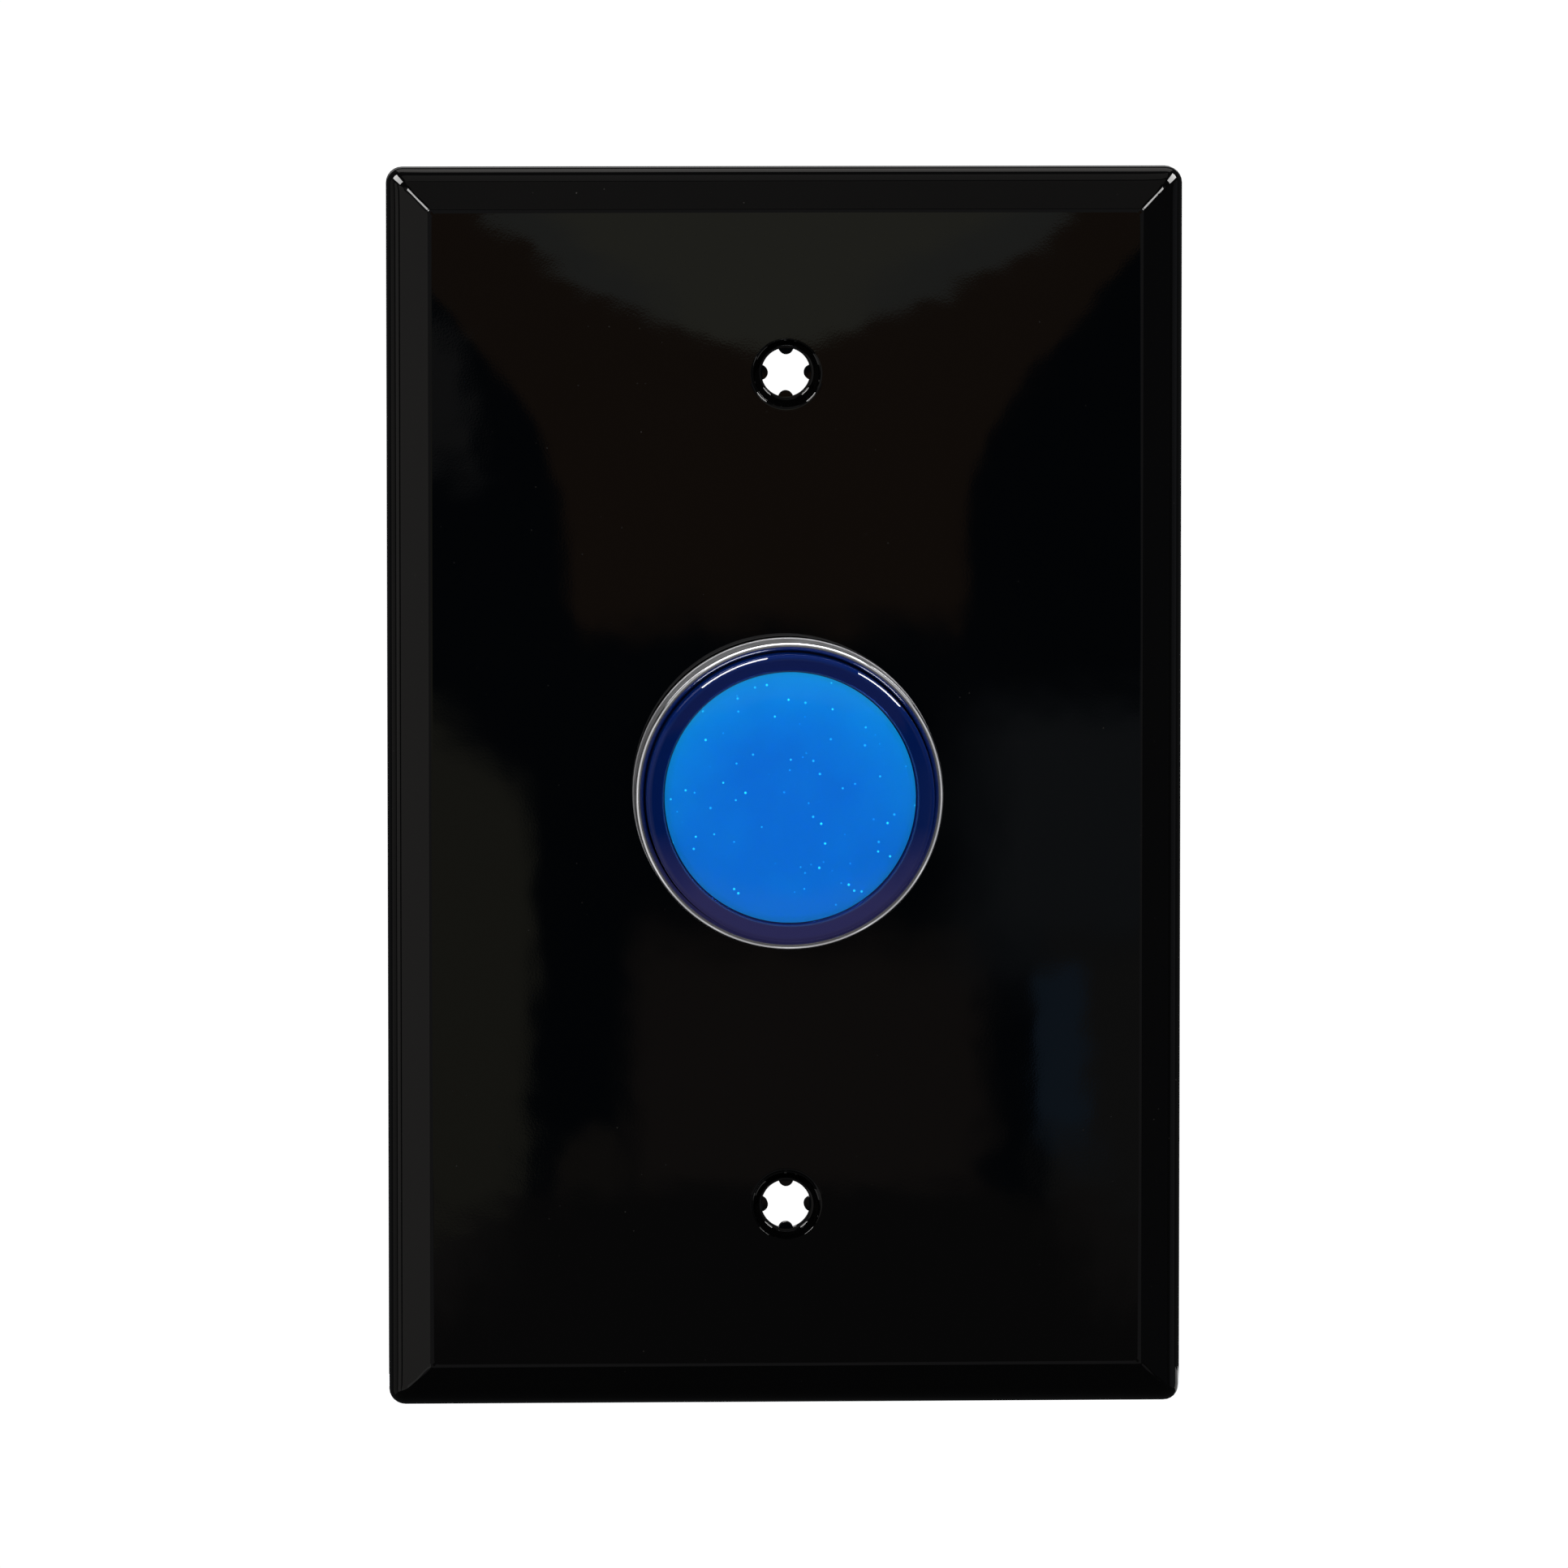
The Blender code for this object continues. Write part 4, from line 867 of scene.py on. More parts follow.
def make_lamp():
    _, (front, back), (_, radius) = span("lamp_lens")
    dome = arc((0.0, front + radius), radius, -90, 0, 16)
    profile = [*dome, (radius, back - 1.0), (radius, back), (0.0, back)]
    lens = mesh_object("lamp_dome", turned(profile, ROUND))
    finish_piece(lens, LOOKS["clear"], "lamp_clear", "housing", "lamp_lens")
    _, (front, back), (_, radius) = span("lamp_base")
    corners = [
        (0.0, front, 0), (radius - 0.3, front, 0.2), (radius, front + 0.3, 0.1), (radius, front + 1.2, 0.1),
        (radius - 0.4, front + 1.5, 0.1), (radius - 0.4, back - 1.0, 0.1), (radius, back - 0.7, 0.1),
        (radius, back, 0.3), (0.0, back, 0),
    ]
    base = mesh_object("lamp_body", turned(filleted(corners), ROUND))
    finish_piece(base, LOOKS["white"], "moulded_white", "housing", "lamp_base")


def make_holder():
    _, (front, rear), (_, reach) = span("lamp_holder")
    socket, radius, floor = 4.1, 5.0, 7.6
    corners = [
        (socket, front, 0.15), (radius, front, 0.15), (radius, 10.6, 0.1), (radius - 0.3, 10.9, 0.1),
        (radius - 0.3, 12.4, 0.1), (radius, 12.7, 0.1), (radius, rear - 0.6, 0.2), (radius - 0.7, rear, 0.3),
        (0.0, rear, 0), (0.0, floor, 0), (socket, floor, 0.2),
    ]
    piece = mesh_object("holder_moulding", turned(filleted(corners), ROUND))
    combine(piece, "UNION", [block((-3.0, 13.1, -reach), (3.0, 14.6, reach), 0.35)])
    slots = [block((side * 2.0 - 0.55, floor - 1.5, -1.5), (side * 2.0 + 0.55, rear + 1, 1.5)) for side in (-1, 1)]
    dimples = [turned([(0, 14.2), (0.9, 14.2), (0.9, 16.0), (0, 16.0)], SMALL, "Y", (0.0, 0.0, z)) for z in (-6.6, 6.6)]
    combine(piece, "DIFFERENCE", slots + dimples)
    soften(piece, 0.1)
    finish_piece(piece, LOOKS["black"], "moulded_black", "housing", "lamp_holder")


def tab(name, across, along, up, thin, material, slot, node, hole=0.75):
    """A flat tab with a chamfered end and a hole near it, thin along X or Z."""
    maker = block((across[0], along[0], up[0]), (across[1], along[1], up[1]))
    piece = mesh_object(name, maker)
    wide = across if thin == "Z" else up
    flat = up if thin == "Z" else across
    end = along[1]
    tools = []
    for low_side in (True, False):
        edge = wide[0] if low_side else wide[1]
        sign = 1 if low_side else -1
        corner = bmesh.new()
        shape = [(edge - sign, end + 1), (edge + sign * 0.7, end + 1), (edge + sign * 0.7, end), (edge, end - 0.9), (edge - sign, end - 0.9)]
        lower, upper = [], []
        for a, y in shape:
            if thin == "Z":
                lower.append(corner.verts.new((a, y, flat[0] - 1)))
                upper.append(corner.verts.new((a, y, flat[1] + 1)))
            else:
                lower.append(corner.verts.new((flat[0] - 1, y, a)))
                upper.append(corner.verts.new((flat[1] + 1, y, a)))
        corner.faces.new(lower)
        corner.faces.new(upper[::-1])
        for here in range(len(lower)):
            after = (here + 1) % len(lower)
            corner.faces.new((lower[here], upper[here], upper[after], lower[after]))
        tools.append(corner)
    middle = (wide[0] + wide[1]) / 2
    drill = turned([(0, -3), (hole, -3), (hole, 3), (0, 3)], SMALL, "Y")
    spin = Matrix.Rotation(math.pi / 2, 3, "X") if thin == "Z" else Matrix.Rotation(math.pi / 2, 3, "Z")
    bmesh.ops.rotate(drill, verts=drill.verts, matrix=spin)
    flat_middle = (flat[0] + flat[1]) / 2
    place = (middle, end - 2.0, flat_middle) if thin == "Z" else (flat_middle, end - 2.0, middle)
    bmesh.ops.translate(drill, verts=drill.verts, vec=place)
    combine(piece, "DIFFERENCE", tools + [drill])
    soften(piece, 0.06, segments=2)
    return finish_piece(piece, material, slot, "housing", node)


def make_lamp_tabs():
    for word in ("left", "right"):
        node = f"lamp_terminal_{word}"
        across, along, up = span(node)
        tab(f"lamp_tab_{word}", across, along, up, "X", LOOKS["brass"], "tinned_brass", node, 0.5)


# ---------------------------------------------------------------- frame and snap switch


def screw_places():
    places = []
    for word in ("upper", "lower"):
        _, along, up = span(f"switch_screw_{word}")
        places.append((word, (along[0] + along[1]) / 2, (up[0] + up[1]) / 2))
    return places


def side_holes(start, end, radius=1.3):
    return [
        turned([(0, start), (radius, start), (radius, end), (0, end)], SMALL, "X", (0.0, y, z))
        for _, y, z in screw_places()
    ]


def make_frame():
    (_, arm_right), (skirt_front, arm_end), _ = span("switch_frame")
    inner, outer, hole = 12.9, 14.17, 5.3
    front, back = 11.3, 12.8
    corners = [
        (hole, front, 0.1), (inner, front, 0.3), (inner, skirt_front, 0.15), (outer, skirt_front, 0.3),
        (outer, back, 0.5), (hole, back, 0.15),
    ]
    piece = mesh_object("frame_moulding", turned(filleted(corners), FINE))
    pad = block((10.25, front, -9.0), (arm_right, back, 9.0))
    arm = block((arm_right - 1.5, front, -9.0), (arm_right, arm_end, 9.0))
    combine(piece, "UNION", [pad, arm])
    slot = block((7.35, front - 1, -6.29), (9.95, back + 1, -3.69))
    window = block((arm_right - 3, 15.0, -3.4), (arm_right + 1, 20.6, 3.4), 0.8)
    combine(piece, "DIFFERENCE", [slot, *side_holes(arm_right - 3, arm_right + 1)])
    combine(piece, "DIFFERENCE", [window])
    soften(piece, 0.22)
    for z in (-7.6, 7.6):
        rib = block((arm_right - 3.0, back - 0.2, z - 0.45), (arm_right - 1.3, back + 2.2, z + 0.45), 0.15)
        add_to(piece, rib)
    finish_piece(piece, LOOKS["black"], "moulded_black", "housing", "switch_frame")


def make_case():
    (left, right), (ear_front, back), (low, high) = span("switch_case")
    middle = (left + right) / 2 + 0.3
    front = ear_front + 2.488
    pivot_y, pivot_z, button_z = 16.5375, 8.4071, 2.8071
    piece = mesh_object("case_moulding", block((left, front, low), (right, back, high)))
    for x0, x1 in ((left, middle - 1.8), (middle + 1.8, right)):
        ear = turned([(0, x0), (1.1, x0), (1.1, x1), (0, x1)], SMALL, "X", (0.0, pivot_y, pivot_z))
        neck = block((x0, pivot_y, pivot_z - 1.1), (x1, front + 0.5, pivot_z + 1.1))
        combine(piece, "UNION", [ear])
        combine(piece, "UNION", [neck])
    cavity = block((left + 1.0, front + 1.0, low + 1.0), (right + 1, front + 5.75, high - 1.0))
    pin = turned([(0, left - 1), (0.5, left - 1), (0.5, right + 1), (0, right + 1)], SMALL, "X", (0.0, pivot_y, pivot_z))
    button = block((middle - 0.9, front - 1, button_z - 1.3), (middle + 0.9, front + 2, button_z + 1.3))
    combine(piece, "DIFFERENCE", [cavity, pin, button])
    slots = []
    for name in ("common", "open", "closed"):
        across, _, up = span(f"{name}_terminal")
        level = {"common": up[1] - 0.4, "open": -0.2, "closed": up[0]}[name]
        slots.append(block((across[0] - 0.3, back - 6, level - 0.3), (across[1] + 0.3, back + 1, level + 0.7)))
    combine(piece, "DIFFERENCE", slots + side_holes(left - 1, right + 1))
    soften(piece, 0.15)
    finish_piece(piece, LOOKS["switch_black"], "switch_black", "housing", "switch_case")


def make_cover():
    across, along, up = span("switch_cover")
    piece = mesh_object("cover_moulding", block((across[0], along[0], up[0]), (across[1], along[1], up[1])))
    combine(piece, "DIFFERENCE", side_holes(across[0] - 1, across[1] + 1))
    soften(piece, 0.15)
    finish_piece(piece, LOOKS["switch_grey"], "switch_grey", "housing", "switch_cover")


def make_screws():
    for word, y, z in screw_places():
        (start, end), _, up = span(f"switch_screw_{word}")
        head, shank = (up[1] - up[0]) / 2, 0.95
        head_start = end - 1.2
        corners = [(0.0, start, 0), (shank, start, 0.25), (shank, head_start, 0.05), (head, head_start, 0.1),
                   (head, end - 0.5, 0.25), (head * 0.75, end, 0.4), (0.0, end, 0)]
        piece = mesh_object(f"screw_pan_{word}", turned(filleted(corners), SMALL, "X", (0.0, y, z)))
        cross = []
        for turn in (0.4, 0.4 + math.pi / 2):
            bar = block((end - 0.7, -0.24, -1.15), (end + 1, 0.24, 1.15))
            bmesh.ops.rotate(bar, verts=bar.verts, matrix=Matrix.Rotation(turn, 3, "X"))
            bmesh.ops.translate(bar, verts=bar.verts, vec=(0.0, y, z))
            cross.append(bar)
        combine(piece, "DIFFERENCE", cross)
        soften(piece, 0.05, segments=2)
        add_to(piece, screw_thread(shank, start + 0.2, head_start - 2.4, (y, z)))
        finish_piece(piece, LOOKS["zinc"], "zinc_steel", "housing", f"switch_screw_{word}")


def screw_thread(radius, start, end, centre):
    ridge = thread_ridge(radius - 0.18, radius + 0.02, start, end, 0.45, 24)
    spin = Matrix(((0, 1, 0), (1, 0, 0), (0, 0, 1)))
    bmesh.ops.transform(ridge, matrix=spin.to_4x4(), verts=ridge.verts)
    bmesh.ops.translate(ridge, verts=ridge.verts, vec=(0.0, *centre))
    return ridge


def make_switch_tabs():
    for name in ("common", "open", "closed"):
        node = f"{name}_terminal"
        across, along, up = span(node)
        level = {"common": up[1] - 0.4, "open": up[1] - 0.4, "closed": up[0]}[name]
        pad_up = (up[0], up[1])
        piece = tab(f"{name}_tab", across, along, (level, level + 0.4), "Z", LOOKS["brass"], "tinned_brass", node)
        pad = block((across[0], along[0], pad_up[0]), (across[1], along[0] + 0.4, pad_up[1]), 0.06, 2)
        add_to(piece, pad)


def make_pin():
    across, along, up = span("lever_pivot_pin")
    radius = (up[1] - up[0]) / 2
    centre = (0.0, (along[0] + along[1]) / 2, (up[0] + up[1]) / 2)
    corners = [(0, across[0], 0), (radius, across[0], 0.12), (radius, across[1], 0.12), (0, across[1], 0)]
    piece = mesh_object("pin_steel", turned(filleted(corners), SMALL, "X", centre))
    finish_piece(piece, LOOKS["spring"], "spring_steel", "housing", "lever_pivot_pin")


def make_lever():
    (left, right), _, _ = span("switch_lever")
    pivot = (0.0, 16.5375, 8.4071)
    profile = [(0.5, left), (0.85, left), (0.85, right), (0.5, right)]
    piece = mesh_object("lever_strip", turned(profile, SMALL, "X"))
    path = [(-0.66, 0.0), (-11.8, 0.0), (-13.0, 0.0), (-14.2, 0.0), (-15.0, 0.0)]
    strip = block((left, -0.2, path[-1][0]), (right, 0.2, path[0][0]), 0.08, 2)
    combine(piece, "UNION", [strip])
    dimple = block((left + 0.9, -0.35, -10.0), (right - 0.9, -0.1, -3.0), 0.12, 2)
    add_to(piece, dimple)
    soften(piece, 0.05, segments=2)
    turn = Matrix.Rotation(-math.radians(9.7394), 4, "X")
    piece.data.transform(Matrix.Translation(Vector(pivot) * MM) @ turn)
    finish_piece(piece, LOOKS["spring"], "spring_steel", "lever", "switch_lever")


def make_button():
    (left, right), (tip, foot), (low, high) = span("switch_button")
    middle = (left + right) / 2
    stem = block((middle - 0.6, tip, low), (middle + 0.6, foot, high), 0.22, 4)
    piece = mesh_object("button_red", stem)
    add_to(piece, block((left, tip + 2.9, low + 0.3), (right, tip + 3.2, high - 0.3), 0.08, 2))
    finish_piece(piece, LOOKS["red"], "switch_red", "button", "switch_button")


def keep_blade():
    """The blade's CAD shape stays, with its own finish."""
    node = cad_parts["snap_blade"]
    node.data.materials.clear()
    node.data.materials.append(LOOKS["copper"])


# ---------------------------------------------------------------- stage, lights and camera


def glow_material(name, colour, strength):
    material = bpy.data.materials.new(name)
    material.use_nodes = True
    tree = material.node_tree
    tree.nodes.clear()
    emission = tree.nodes.new("ShaderNodeEmission")
    emission.inputs["Color"].default_value = (*colour, 1.0)
    emission.inputs["Strength"].default_value = strength
    output = tree.nodes.new("ShaderNodeOutputMaterial")
    tree.links.new(emission.outputs["Emission"], output.inputs["Surface"])
    return material


def make_floor():
    """A pale floor that curves up far away on all sides."""
    maker = bmesh.new()
    profile = [(0.0, -0.35), (3.0, -0.35), (4.2, -0.35), (4.8, -0.15), (5.1, 0.3), (5.2, 1.2), (5.2, 3.2)]
    sides = 64
    rings = []
    for radius, height in profile:
        rings.append([
            maker.verts.new((radius * math.cos(2 * math.pi * s / sides), radius * math.sin(2 * math.pi * s / sides), height))
            for s in range(sides)
        ])
    for here, after in zip(rings, rings[1:]):
        for side in range(sides):
            next_side = (side + 1) % sides
            maker.faces.new((here[side], here[next_side], after[next_side], after[side]))
    bmesh.ops.remove_doubles(maker, verts=maker.verts, dist=1e-5)
    mesh = bpy.data.meshes.new("studio_floor")
    maker.to_mesh(mesh)
    maker.free()
    mesh.shade_smooth()
    floor = bpy.data.objects.new("studio_floor", mesh)
    bpy.context.scene.collection.objects.link(floor)
    mesh.materials.append(glow_material("floor_pale", (1.0, 1.0, 1.0), 1.05))
    floor.visible_glossy = False
    floor.visible_transmission = True
    floor.visible_diffuse = False


def turn_to(place, aim, along=None):
    """The turn of a thing at a place whose back (-Z) faces a point, with its X axis level or along a direction."""
    facing = (Vector(aim) - Vector(place)).normalized()
    side = Vector(along) if along else facing.cross(Vector((0.0, 0.0, 1.0)))
    side = (side - facing * side.dot(facing)).normalized()
    return Matrix((side, side.cross(facing), -facing)).transposed().to_euler()


def softbox(name, place, size, colour, radiance, only, along=None):
    """An area light that faces the button and lights only some pieces."""
    light = bpy.data.lights.new(name, "AREA")
    light.shape = "RECTANGLE"
    light.size, light.size_y = size
    light.energy = radiance * math.pi * size[0] * size[1]
    light.color = colour
    made = bpy.data.objects.new(name, light)
    bpy.context.scene.collection.objects.link(made)
    made.location = place
    made.rotation_euler = turn_to(place, (0.0, -0.012, 0.0), along)
    made.visible_camera = False
    lit = bpy.data.collections.new(f"{name}_lights")
    for piece in only:
        lit.objects.link(bpy.data.objects[piece])
    made.light_linking.receiver_collection = lit


def card(name, place, size, colour, strength, aim=(0.0, 0.0, 0.0), material=None):
    """A soft light card that faces a point. The camera doesn't see it."""
    maker = bmesh.new()
    half_x, half_y = size[0] / 2, size[1] / 2
    corners = [(-half_x, -half_y, 0), (half_x, -half_y, 0), (half_x, half_y, 0), (-half_x, half_y, 0)]
    maker.faces.new([maker.verts.new(corner) for corner in corners])
    mesh = bpy.data.meshes.new(name)
    maker.to_mesh(mesh)
    maker.free()
    made = bpy.data.objects.new(name, mesh)
    bpy.context.scene.collection.objects.link(made)
    made.location = place
    made.rotation_euler = turn_to(place, aim)
    mesh.materials.append(material or glow_material(name, colour, strength))
    made.visible_camera = False
    made.visible_transmission = False
    return made


class Painted:
    """An emission material whose colour is painted over the place (x, z) on the plate that mirrors it, in millimetres."""

    def __init__(self, name):
        self.material = bpy.data.materials.new(name)
        self.material.use_nodes = True
        self.tree = self.material.node_tree
        self.tree.nodes.clear()
        place = self.tree.nodes.new("ShaderNodeTexCoord").outputs["Object"]
        self.place = place
        axes = self.tree.nodes.new("ShaderNodeSeparateXYZ")
        self.tree.links.new(place, axes.inputs["Vector"])
        card_x, card_z = self.times(axes.outputs["X"], 1 / MM), self.times(axes.outputs["Y"], 1 / MM)
        self.x, self.z = self.times(card_x, 1 / 4.68), self.times(card_z, 1 / 3.07)
        for _ in range(3):
            flat_z, flat_x = self.flatness(self.z, FACE_TALL), self.flatness(self.x, FACE_WIDE)
            bend_x = self.add(self.times(flat_z, CROWN_BEND_X), MIRROR_SPREAD)
            bend_z = self.add(self.times(flat_x, CROWN_BEND_Z), MIRROR_SPREAD)
            self.x, self.z = self.math("DIVIDE", card_x, bend_x), self.math("DIVIDE", card_z, bend_z)
        self.shown = None

    def flatness(self, value, half):
        """How much of the crown's bend is left at a place: 1 in the middle and 0 at the edge."""
        share = self.times(value, 1 / half)
        left = self.math("SUBTRACT", 1.0, self.times(share, share))
        return self.math("MAXIMUM", left, 0.0)

    def math(self, operation, first, second=0.0):
        made = self.tree.nodes.new("ShaderNodeMath")
        made.operation = operation
        for socket, value in zip(made.inputs, (first, second)):
            if isinstance(value, (int, float)):
                socket.default_value = value
            else:
                self.tree.links.new(value, socket)
        return made.outputs["Value"]

    def add(self, first, second):
        return self.math("ADD", first, second)

    def times(self, first, second):
        return self.math("MULTIPLY", first, second)

    def step(self, value, low, high):
        """0 below low, 1 above high, smooth between. With low over high it falls instead."""
        made = self.tree.nodes.new("ShaderNodeMapRange")
        made.interpolation_type = "SMOOTHSTEP"
        rising = high > low
        made.inputs["From Min"].default_value = low if rising else high
        made.inputs["From Max"].default_value = high if rising else low
        made.inputs["To Min"].default_value = 0.0 if rising else 1.0
        made.inputs["To Max"].default_value = 1.0 if rising else 0.0
        self.tree.links.new(value, made.inputs["Value"])
        return made.outputs["Result"]

    def noise(self, scale, detail=3.0):
        """Noise from about -0.5 to 0.5 at so many cells in a metre of card."""
        made = self.tree.nodes.new("ShaderNodeTexNoise")
        made.inputs["Scale"].default_value = scale
        made.inputs["Detail"].default_value = detail
        self.tree.links.new(self.place, made.inputs["Vector"])
        return self.add(made.outputs["Fac"], -0.5)

    def both(self, *masks):
        whole = masks[0]
        for mask in masks[1:]:
            whole = self.times(whole, mask)
        return whole

    def paint(self, mask, colour):
        """Lays a colour over what is there, as far as the mask goes."""
        made = self.tree.nodes.new("ShaderNodeMix")
        made.data_type = "RGBA"
        if isinstance(mask, (int, float)):
            made.inputs[0].default_value = mask
        else:
            self.tree.links.new(mask, made.inputs[0])
        below, above = [socket for socket in made.inputs if socket.type == "RGBA"]
        if self.shown is None:
            below.default_value = (0.0, 0.0, 0.0, 1.0)
        else:
            self.tree.links.new(self.shown, below)
        above.default_value = (*colour, 1.0)
        self.shown = [out for out in made.outputs if out.type == "RGBA"][0]

    def done(self, strength=1.0):
        emission = self.tree.nodes.new("ShaderNodeEmission")
        emission.inputs["Strength"].default_value = strength
        self.tree.links.new(self.shown, emission.inputs["Color"])
        output = self.tree.nodes.new("ShaderNodeOutputMaterial")
        self.tree.links.new(emission.outputs["Emission"], output.inputs["Surface"])
        return self.material


def room_material():
    """A dim room as the plate's face mirrors it: pale upper band, brown wall, dark sides, hazy lower part.

    All places are on the plate's face, in millimetres.
    """
    art = Painted("room_card")
    x, z = art.x, art.z
    wobble = art.times(art.noise(7.0), 7.0)
    fine = art.times(art.noise(24.0, 5.0), 15.0)
    away = art.math("ABSOLUTE", art.add(x, 1.9))
    art.paint(1.0, (0.012, 0.02, 0.03))
    flare = art.step(z, 17.0, 62.0)
    funnel_half = art.add(art.times(art.times(flare, flare), 22.0), 19.5)
    inside = art.step(art.math("SUBTRACT", art.add(funnel_half, art.times(wobble, 0.5)), away), -0.6, 0.9)
    funnel = art.both(inside, art.step(art.add(z, art.times(fine, 0.7)), 13.5, 18.5))
    art.paint(funnel, (0.115, 0.078, 0.056))
    band_edge = art.add(art.add(art.times(away, 0.34), 43.0), art.times(wobble, 0.3))
    band = art.step(art.math("SUBTRACT", z, band_edge), -0.4, 0.8)
    art.paint(band, (0.30, 0.30, 0.245))
    sheen = art.both(band, art.step(art.math("SUBTRACT", z, band_edge), 6.0, 3.0), art.step(away, 6.0, 14.0))
    art.paint(art.times(sheen, 0.5), (0.20, 0.22, 0.24))
    strip = art.both(art.step(x, -29.0, -31.0), art.step(z, 28.0, 34.0), art.step(z, 49.0, 45.0))
    art.paint(art.times(strip, 0.7), (0.14, 0.14, 0.14))
    left = art.both(
        art.step(art.add(x, art.times(fine, 0.2)), -24.2, -26.5), art.step(art.add(z, art.times(x, 0.9)), -20.0, -28.0)
    )
    art.paint(left, (0.165, 0.162, 0.128))
    near_left = art.both(art.step(x, -14.5, -17.5), art.step(x, -24.0, -21.5), art.step(art.add(z, fine), -33.0, -37.0))
    art.paint(near_left, (0.09, 0.08, 0.072))
    low = art.both(
        art.step(art.add(x, art.times(fine, 0.25)), -17.5, -13.5), art.step(art.add(x, art.times(fine, 0.6)), 22.0, 18.0),
        art.step(art.add(z, art.times(fine, 0.6)), -10.0, -19.0),
    )
    art.paint(low, (0.10, 0.085, 0.078))
    right = art.both(
        art.step(art.add(x, art.times(fine, 0.6)), 13.0, 24.0), art.step(art.add(z, wobble), 12.0, 4.0),
        art.step(z, -24.0, -12.0),
    )
    art.paint(right, (0.095, 0.108, 0.122))
    low_right = art.both(art.step(art.add(x, art.times(fine, 0.5)), 24.0, 28.0), art.step(z, -12.0, -20.0))
    art.paint(low_right, (0.10, 0.10, 0.098))
    pane = art.both(
        art.step(art.add(x, art.times(fine, 0.15)), 24.0, 25.5), art.step(art.add(x, art.times(fine, 0.15)), 30.5, 29.0),
        art.step(z, -17.0, -19.5), art.step(z, -38.0, -31.0),
    )
    art.paint(art.times(pane, 0.8), (0.09, 0.16, 0.26))
    foot = art.step(art.add(z, art.times(fine, 0.15)), -38.5, -41.5)
    art.paint(foot, (0.048, 0.047, 0.048))
    side = art.both(foot, art.step(art.math("ABSOLUTE", x), 24.0, 31.0), art.step(z, -56.0, -44.0))
    art.paint(art.times(side, 0.7), (0.115, 0.105, 0.10))
    far = art.math("SQRT", art.add(art.times(x, x), art.times(z, z)), 0.0)
    art.paint(art.step(far, 92.0, 120.0), (0.14, 0.138, 0.142))
    return art.done()


def mirrored(normal, distance, spot=(0.0, 0.0, 0.0)):
    """The place, so far away, that the camera sees mirrored in a spot, in millimetres, with this normal."""
    facing, start = Vector(normal).normalized(), Vector(spot) * MM
    to_camera = (CAMERA_AIM + TO_CAMERA * DISTANCE - start).normalized()
    return start + (facing * 2 * facing.dot(to_camera) - to_camera) * distance


def tilted(turn, tilt):
    """A normal that leans from the front (-Y) by a tilt, towards a turn seen from the front, in degrees."""
    turn, tilt = math.radians(turn), math.radians(tilt)
    return Vector((math.cos(turn) * math.sin(tilt), -math.cos(tilt), math.sin(turn) * math.sin(tilt)))


def across_turn(turn):
    """The direction round the button's axis at a turn."""
    return Vector((-math.sin(math.radians(turn)), 0.0, math.cos(math.radians(turn))))


def make_edge_cards():
    """Cards that the plate's bevelled edges mirror: (name, turn, tilt, spot, size, colour, strength)."""
    warm, cool = (0.96, 0.93, 0.90), (0.9, 0.93, 1.0)
    left, right, top = (-37.6, -5.5, 0.0), (37.6, -5.5, 0.0), (0.0, -5.5, 59.9)
    for name, turn, tilt, spot, size, colour, strength in (
        ("card_left", 180, 28.6, left, (0.42, 1.2), warm, 0.30),
        ("card_left_side", 180, 41, left, (0.26, 1.2), warm, 0.30),
        ("card_left_behind", 180, 53, left, (0.40, 1.2), warm, 0.13),
        ("card_right", 0, 28.6, right, (0.30, 1.0), cool, 0.045),
        ("card_right_side", 0, 46, right, (0.45, 1.0), cool, 0.09),
        ("card_top", 90, 28.6, top, (0.9, 0.36), warm, 0.13),
        ("card_top_over", 90, 42, top, (0.9, 0.46), warm, 0.19),
        ("card_top_behind", 90, 64, top, (0.9, 0.46), warm, 0.5),
    ):
        card(name, mirrored(tilted(turn, tilt), 1.0, spot), size, colour, strength)
    for name, turn, x in (("mitre_left", 135, -37.5), ("mitre_right", 45, 37.5)):
        for part, tilt, size in (("inner", 20.7, (0.2, 0.09)), ("outer", 43, (0.36, 0.7))):
            place = mirrored(tilted(turn, tilt), 0.9, (x, -5.6, 59.8))
            softbox(f"{name}_{part}", place, size, WHITE, 11.0, ("wall_plate_shell",), across_turn(turn))


def make_button_lights():
    """The white arcs on the cap and the bright lip and side of the bezel."""
    for name, turn, length in (("strip_left", 114, 0.46), ("strip_right", 51, 0.32)):
        place = mirrored(tilted(turn, 48), 0.8)
        softbox(name, place, (length, 0.85), WHITE, 24.0, ("cap_moulding",), across_turn(turn))
    for number in range(12):
        turn = 30 * number + 15
        strength = 0.5
        place = mirrored(tilted(turn, 32), 0.7)
        softbox(f"rim_{number}", place, (0.36, 0.62), WHITE, strength, ("bezel_polished",), across_turn(turn))
    softbox("rim_over", (0.0, -0.08, 0.9), (1.2, 0.8), WHITE, 3.0, ("bezel_polished",))


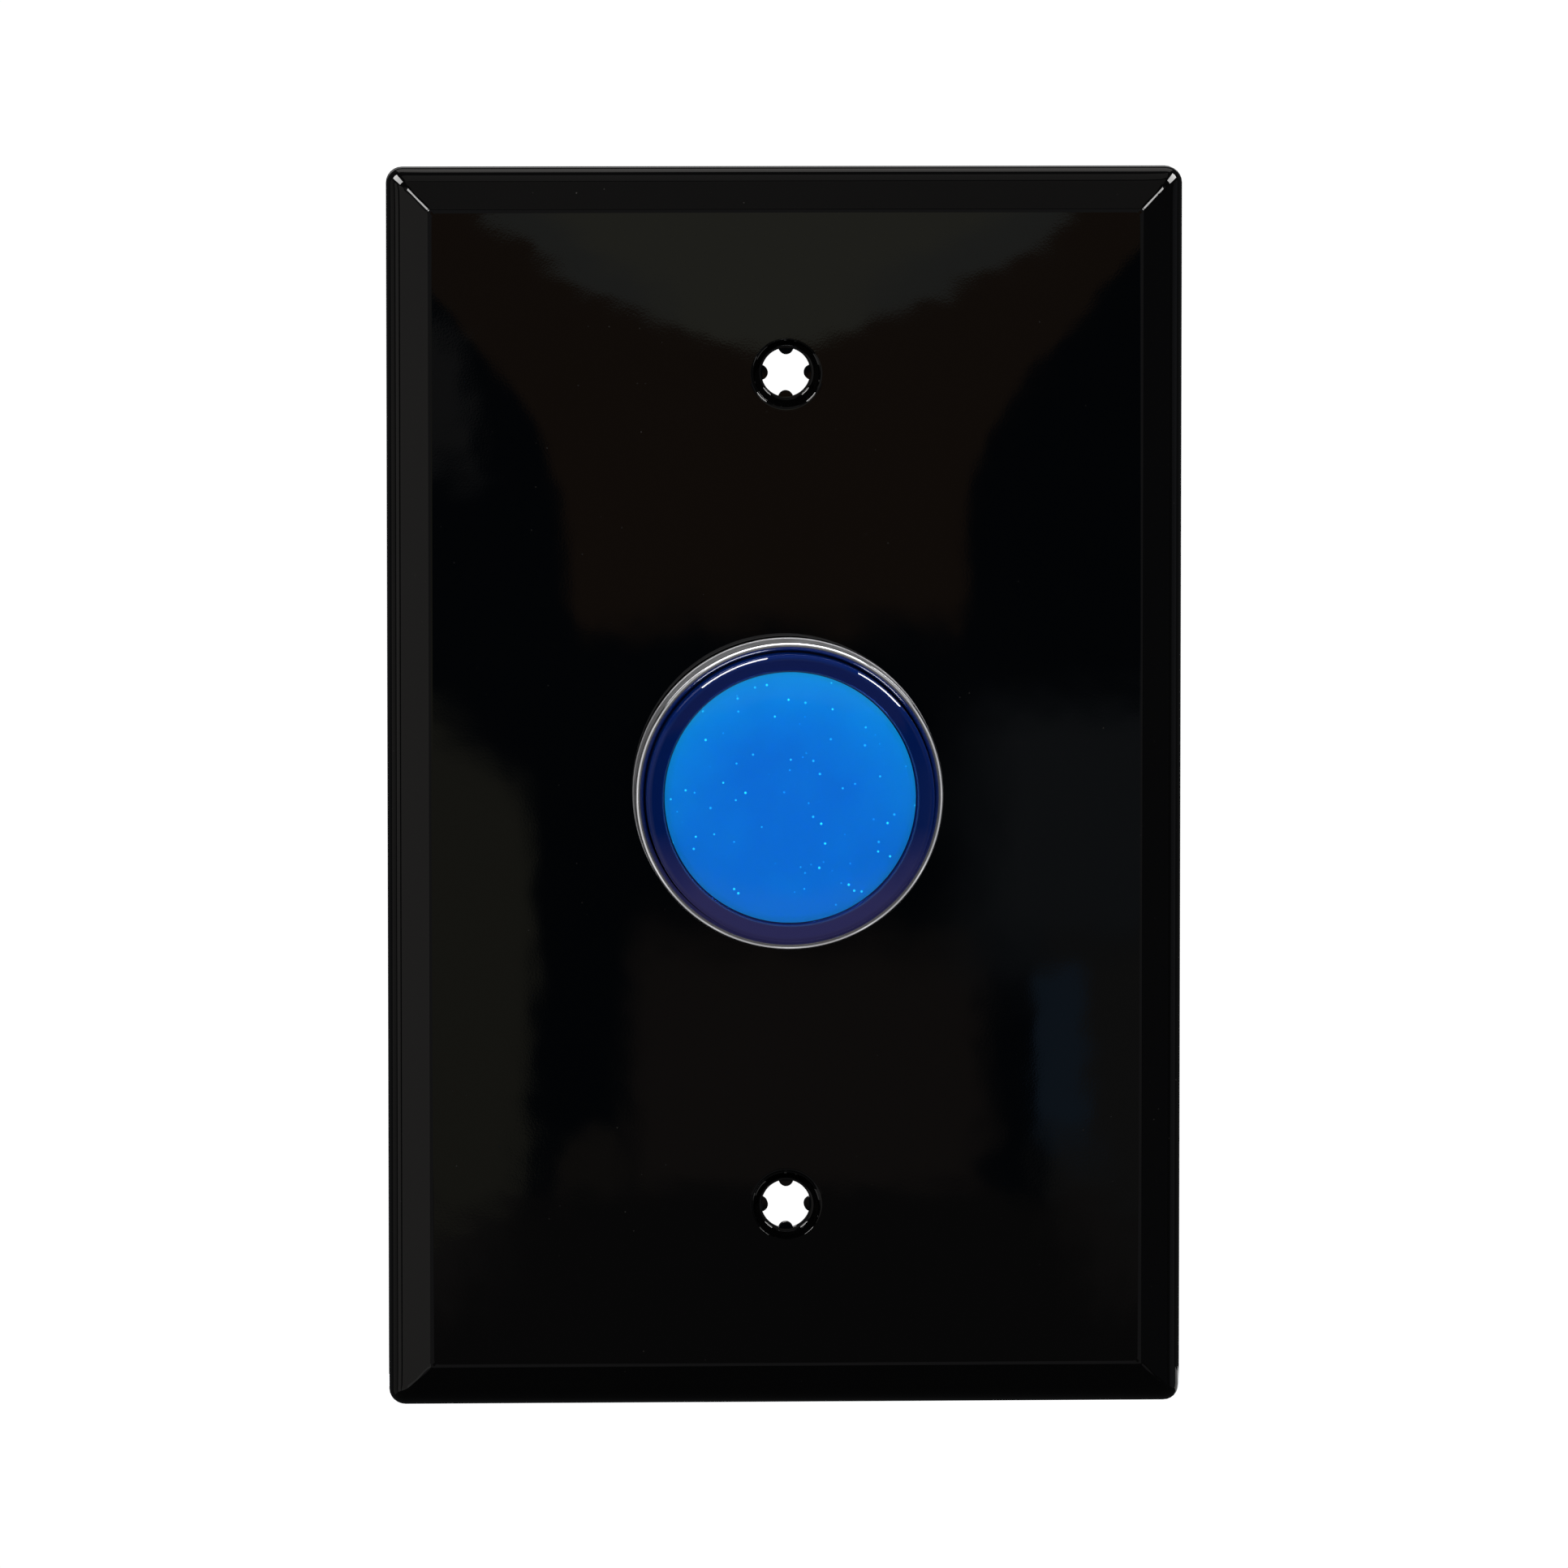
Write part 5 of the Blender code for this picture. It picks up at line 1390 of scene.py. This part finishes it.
def make_studio_lights():
    """Lights for the pieces behind the plate and for looks from the side and from behind."""
    behind = [
        "gasket_ring", "barrel_moulding", "washer_toothed", "nut_hexagonal", "spring_wire", "sleeve_moulding",
        "lamp_dome", "lamp_body", "holder_moulding", "lamp_tab_left", "lamp_tab_right", "frame_moulding",
        "case_moulding", "cover_moulding", "screw_pan_upper", "screw_pan_lower", "common_tab", "open_tab",
        "closed_tab", "pin_steel", "lever_strip", "button_red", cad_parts["snap_blade"].name,
    ]
    for name, place, size, strength in (
        ("back_key", (0.75, 1.1, 0.95), (1.0, 0.8), 16.0),
        ("back_fill", (-0.65, 1.2, 0.25), (0.8, 0.9), 5.0),
        ("side_key", (1.3, -0.35, 0.75), (0.8, 0.8), 9.0),
        ("side_far", (-1.3, 0.2, 0.6), (0.8, 0.8), 5.0),
    ):
        softbox(name, place, size, WHITE, strength, behind)
    card("backdrop", (0.0, 2.0, 0.53), (1.6, 0.7), WHITE, 0.35)
    card("back_mirror", (0.75, 0.78, -0.37), (0.8, 0.32), WHITE, 0.6)
    card("back_low", (0.3, 1.0, -0.28), (0.9, 0.15), (0.95, 0.97, 1.0), 2.0)
    card("side_mirror", (1.35, 0.0, -0.095), (0.2, 0.5), WHITE, 0.5)
    card("front_low", (-1.06, -0.78, -0.62), (0.75, 0.6), WHITE, 0.45)


def make_lights():
    room_place = mirrored((0.0, -1.0, 0.0), ROOM_DISTANCE)
    room_aim = room_place + Vector((0.0, 1.0, 0.0))
    room = card("room_card", room_place, (2.6, 2.2), WHITE, 1.0, room_aim, room_material())
    room.visible_diffuse = False
    make_edge_cards()
    make_button_lights()
    make_studio_lights()


def make_world():
    world = bpy.data.worlds.new("studio")
    world.use_nodes = True
    sky = world.node_tree.nodes["Background"]
    sky.inputs["Color"].default_value = (0.95, 0.97, 1.0, 1.0)
    sky.inputs["Strength"].default_value = 0.03
    bpy.context.scene.world = world
    bpy.context.scene.view_settings.view_transform = "Standard"


def make_camera():
    data = bpy.data.cameras.new("camera")
    camera = bpy.data.objects.new("camera", data)
    bpy.context.scene.collection.objects.link(camera)
    camera.location = CAMERA_AIM + TO_CAMERA * DISTANCE
    camera.rotation_euler = TO_CAMERA.to_track_quat("Z", "Y").to_euler()
    data.sensor_width = 36.0
    data.lens = 286.5
    data.clip_start, data.clip_end = 0.05, 40.0
    bpy.context.scene.camera = camera


# ---------------------------------------------------------------- build

plate_size_once = plate_size()
LOOKS = {
    "plate": plate_look(),
    "black": moulded_look("moulded_black_satin", (0.024, 0.024, 0.025), 0.38),
    "white": moulded_look("moulded_white_satin", (0.74, 0.74, 0.71), 0.4, grain_strength=0.12),
    "switch_black": moulded_look("switch_black_satin", (0.03, 0.03, 0.032), 0.45),
    "switch_grey": moulded_look("switch_grey_satin", (0.2, 0.2, 0.21), 0.45),
    "red": moulded_look("switch_red_smooth", (0.5, 0.02, 0.015), 0.28, grain_strength=0.05),
    "chrome": bezel_look(),
    "zinc": metal_look("zinc_plated", (0.55, 0.56, 0.57), 0.3, tint=(0.5, 0.5, 0.44)),
    "spring": metal_look("spring_steel", (0.48, 0.48, 0.5), 0.26, stretch=(1.0, 0.15, 1.0)),
    "brass": metal_look("tinned_brass", (0.68, 0.62, 0.46), 0.28, stretch=(1.0, 0.12, 1.0), tint=(0.7, 0.52, 0.28)),
    "copper": metal_look("copper_alloy", (0.74, 0.43, 0.25), 0.28, stretch=(1.0, 1.0, 0.12)),
    "cap": cap_look(),
    "disc": diffuser_look(),
    "clear": clear_look("lamp_clear", (0.86, 0.9, 0.95)),
    "rubber": rubber_look(),
}

make_wall_plate()
make_gasket()
make_bezel()
make_cap()
make_disc()
make_sleeve()
make_barrel()
make_washer()
make_nut()
make_spring()
make_lamp()
make_holder()
make_lamp_tabs()
make_frame()
make_case()
make_cover()
make_screws()
make_switch_tabs()
make_pin()
make_lever()
make_button()
keep_blade()
make_floor()
make_lights()
make_world()
make_camera()
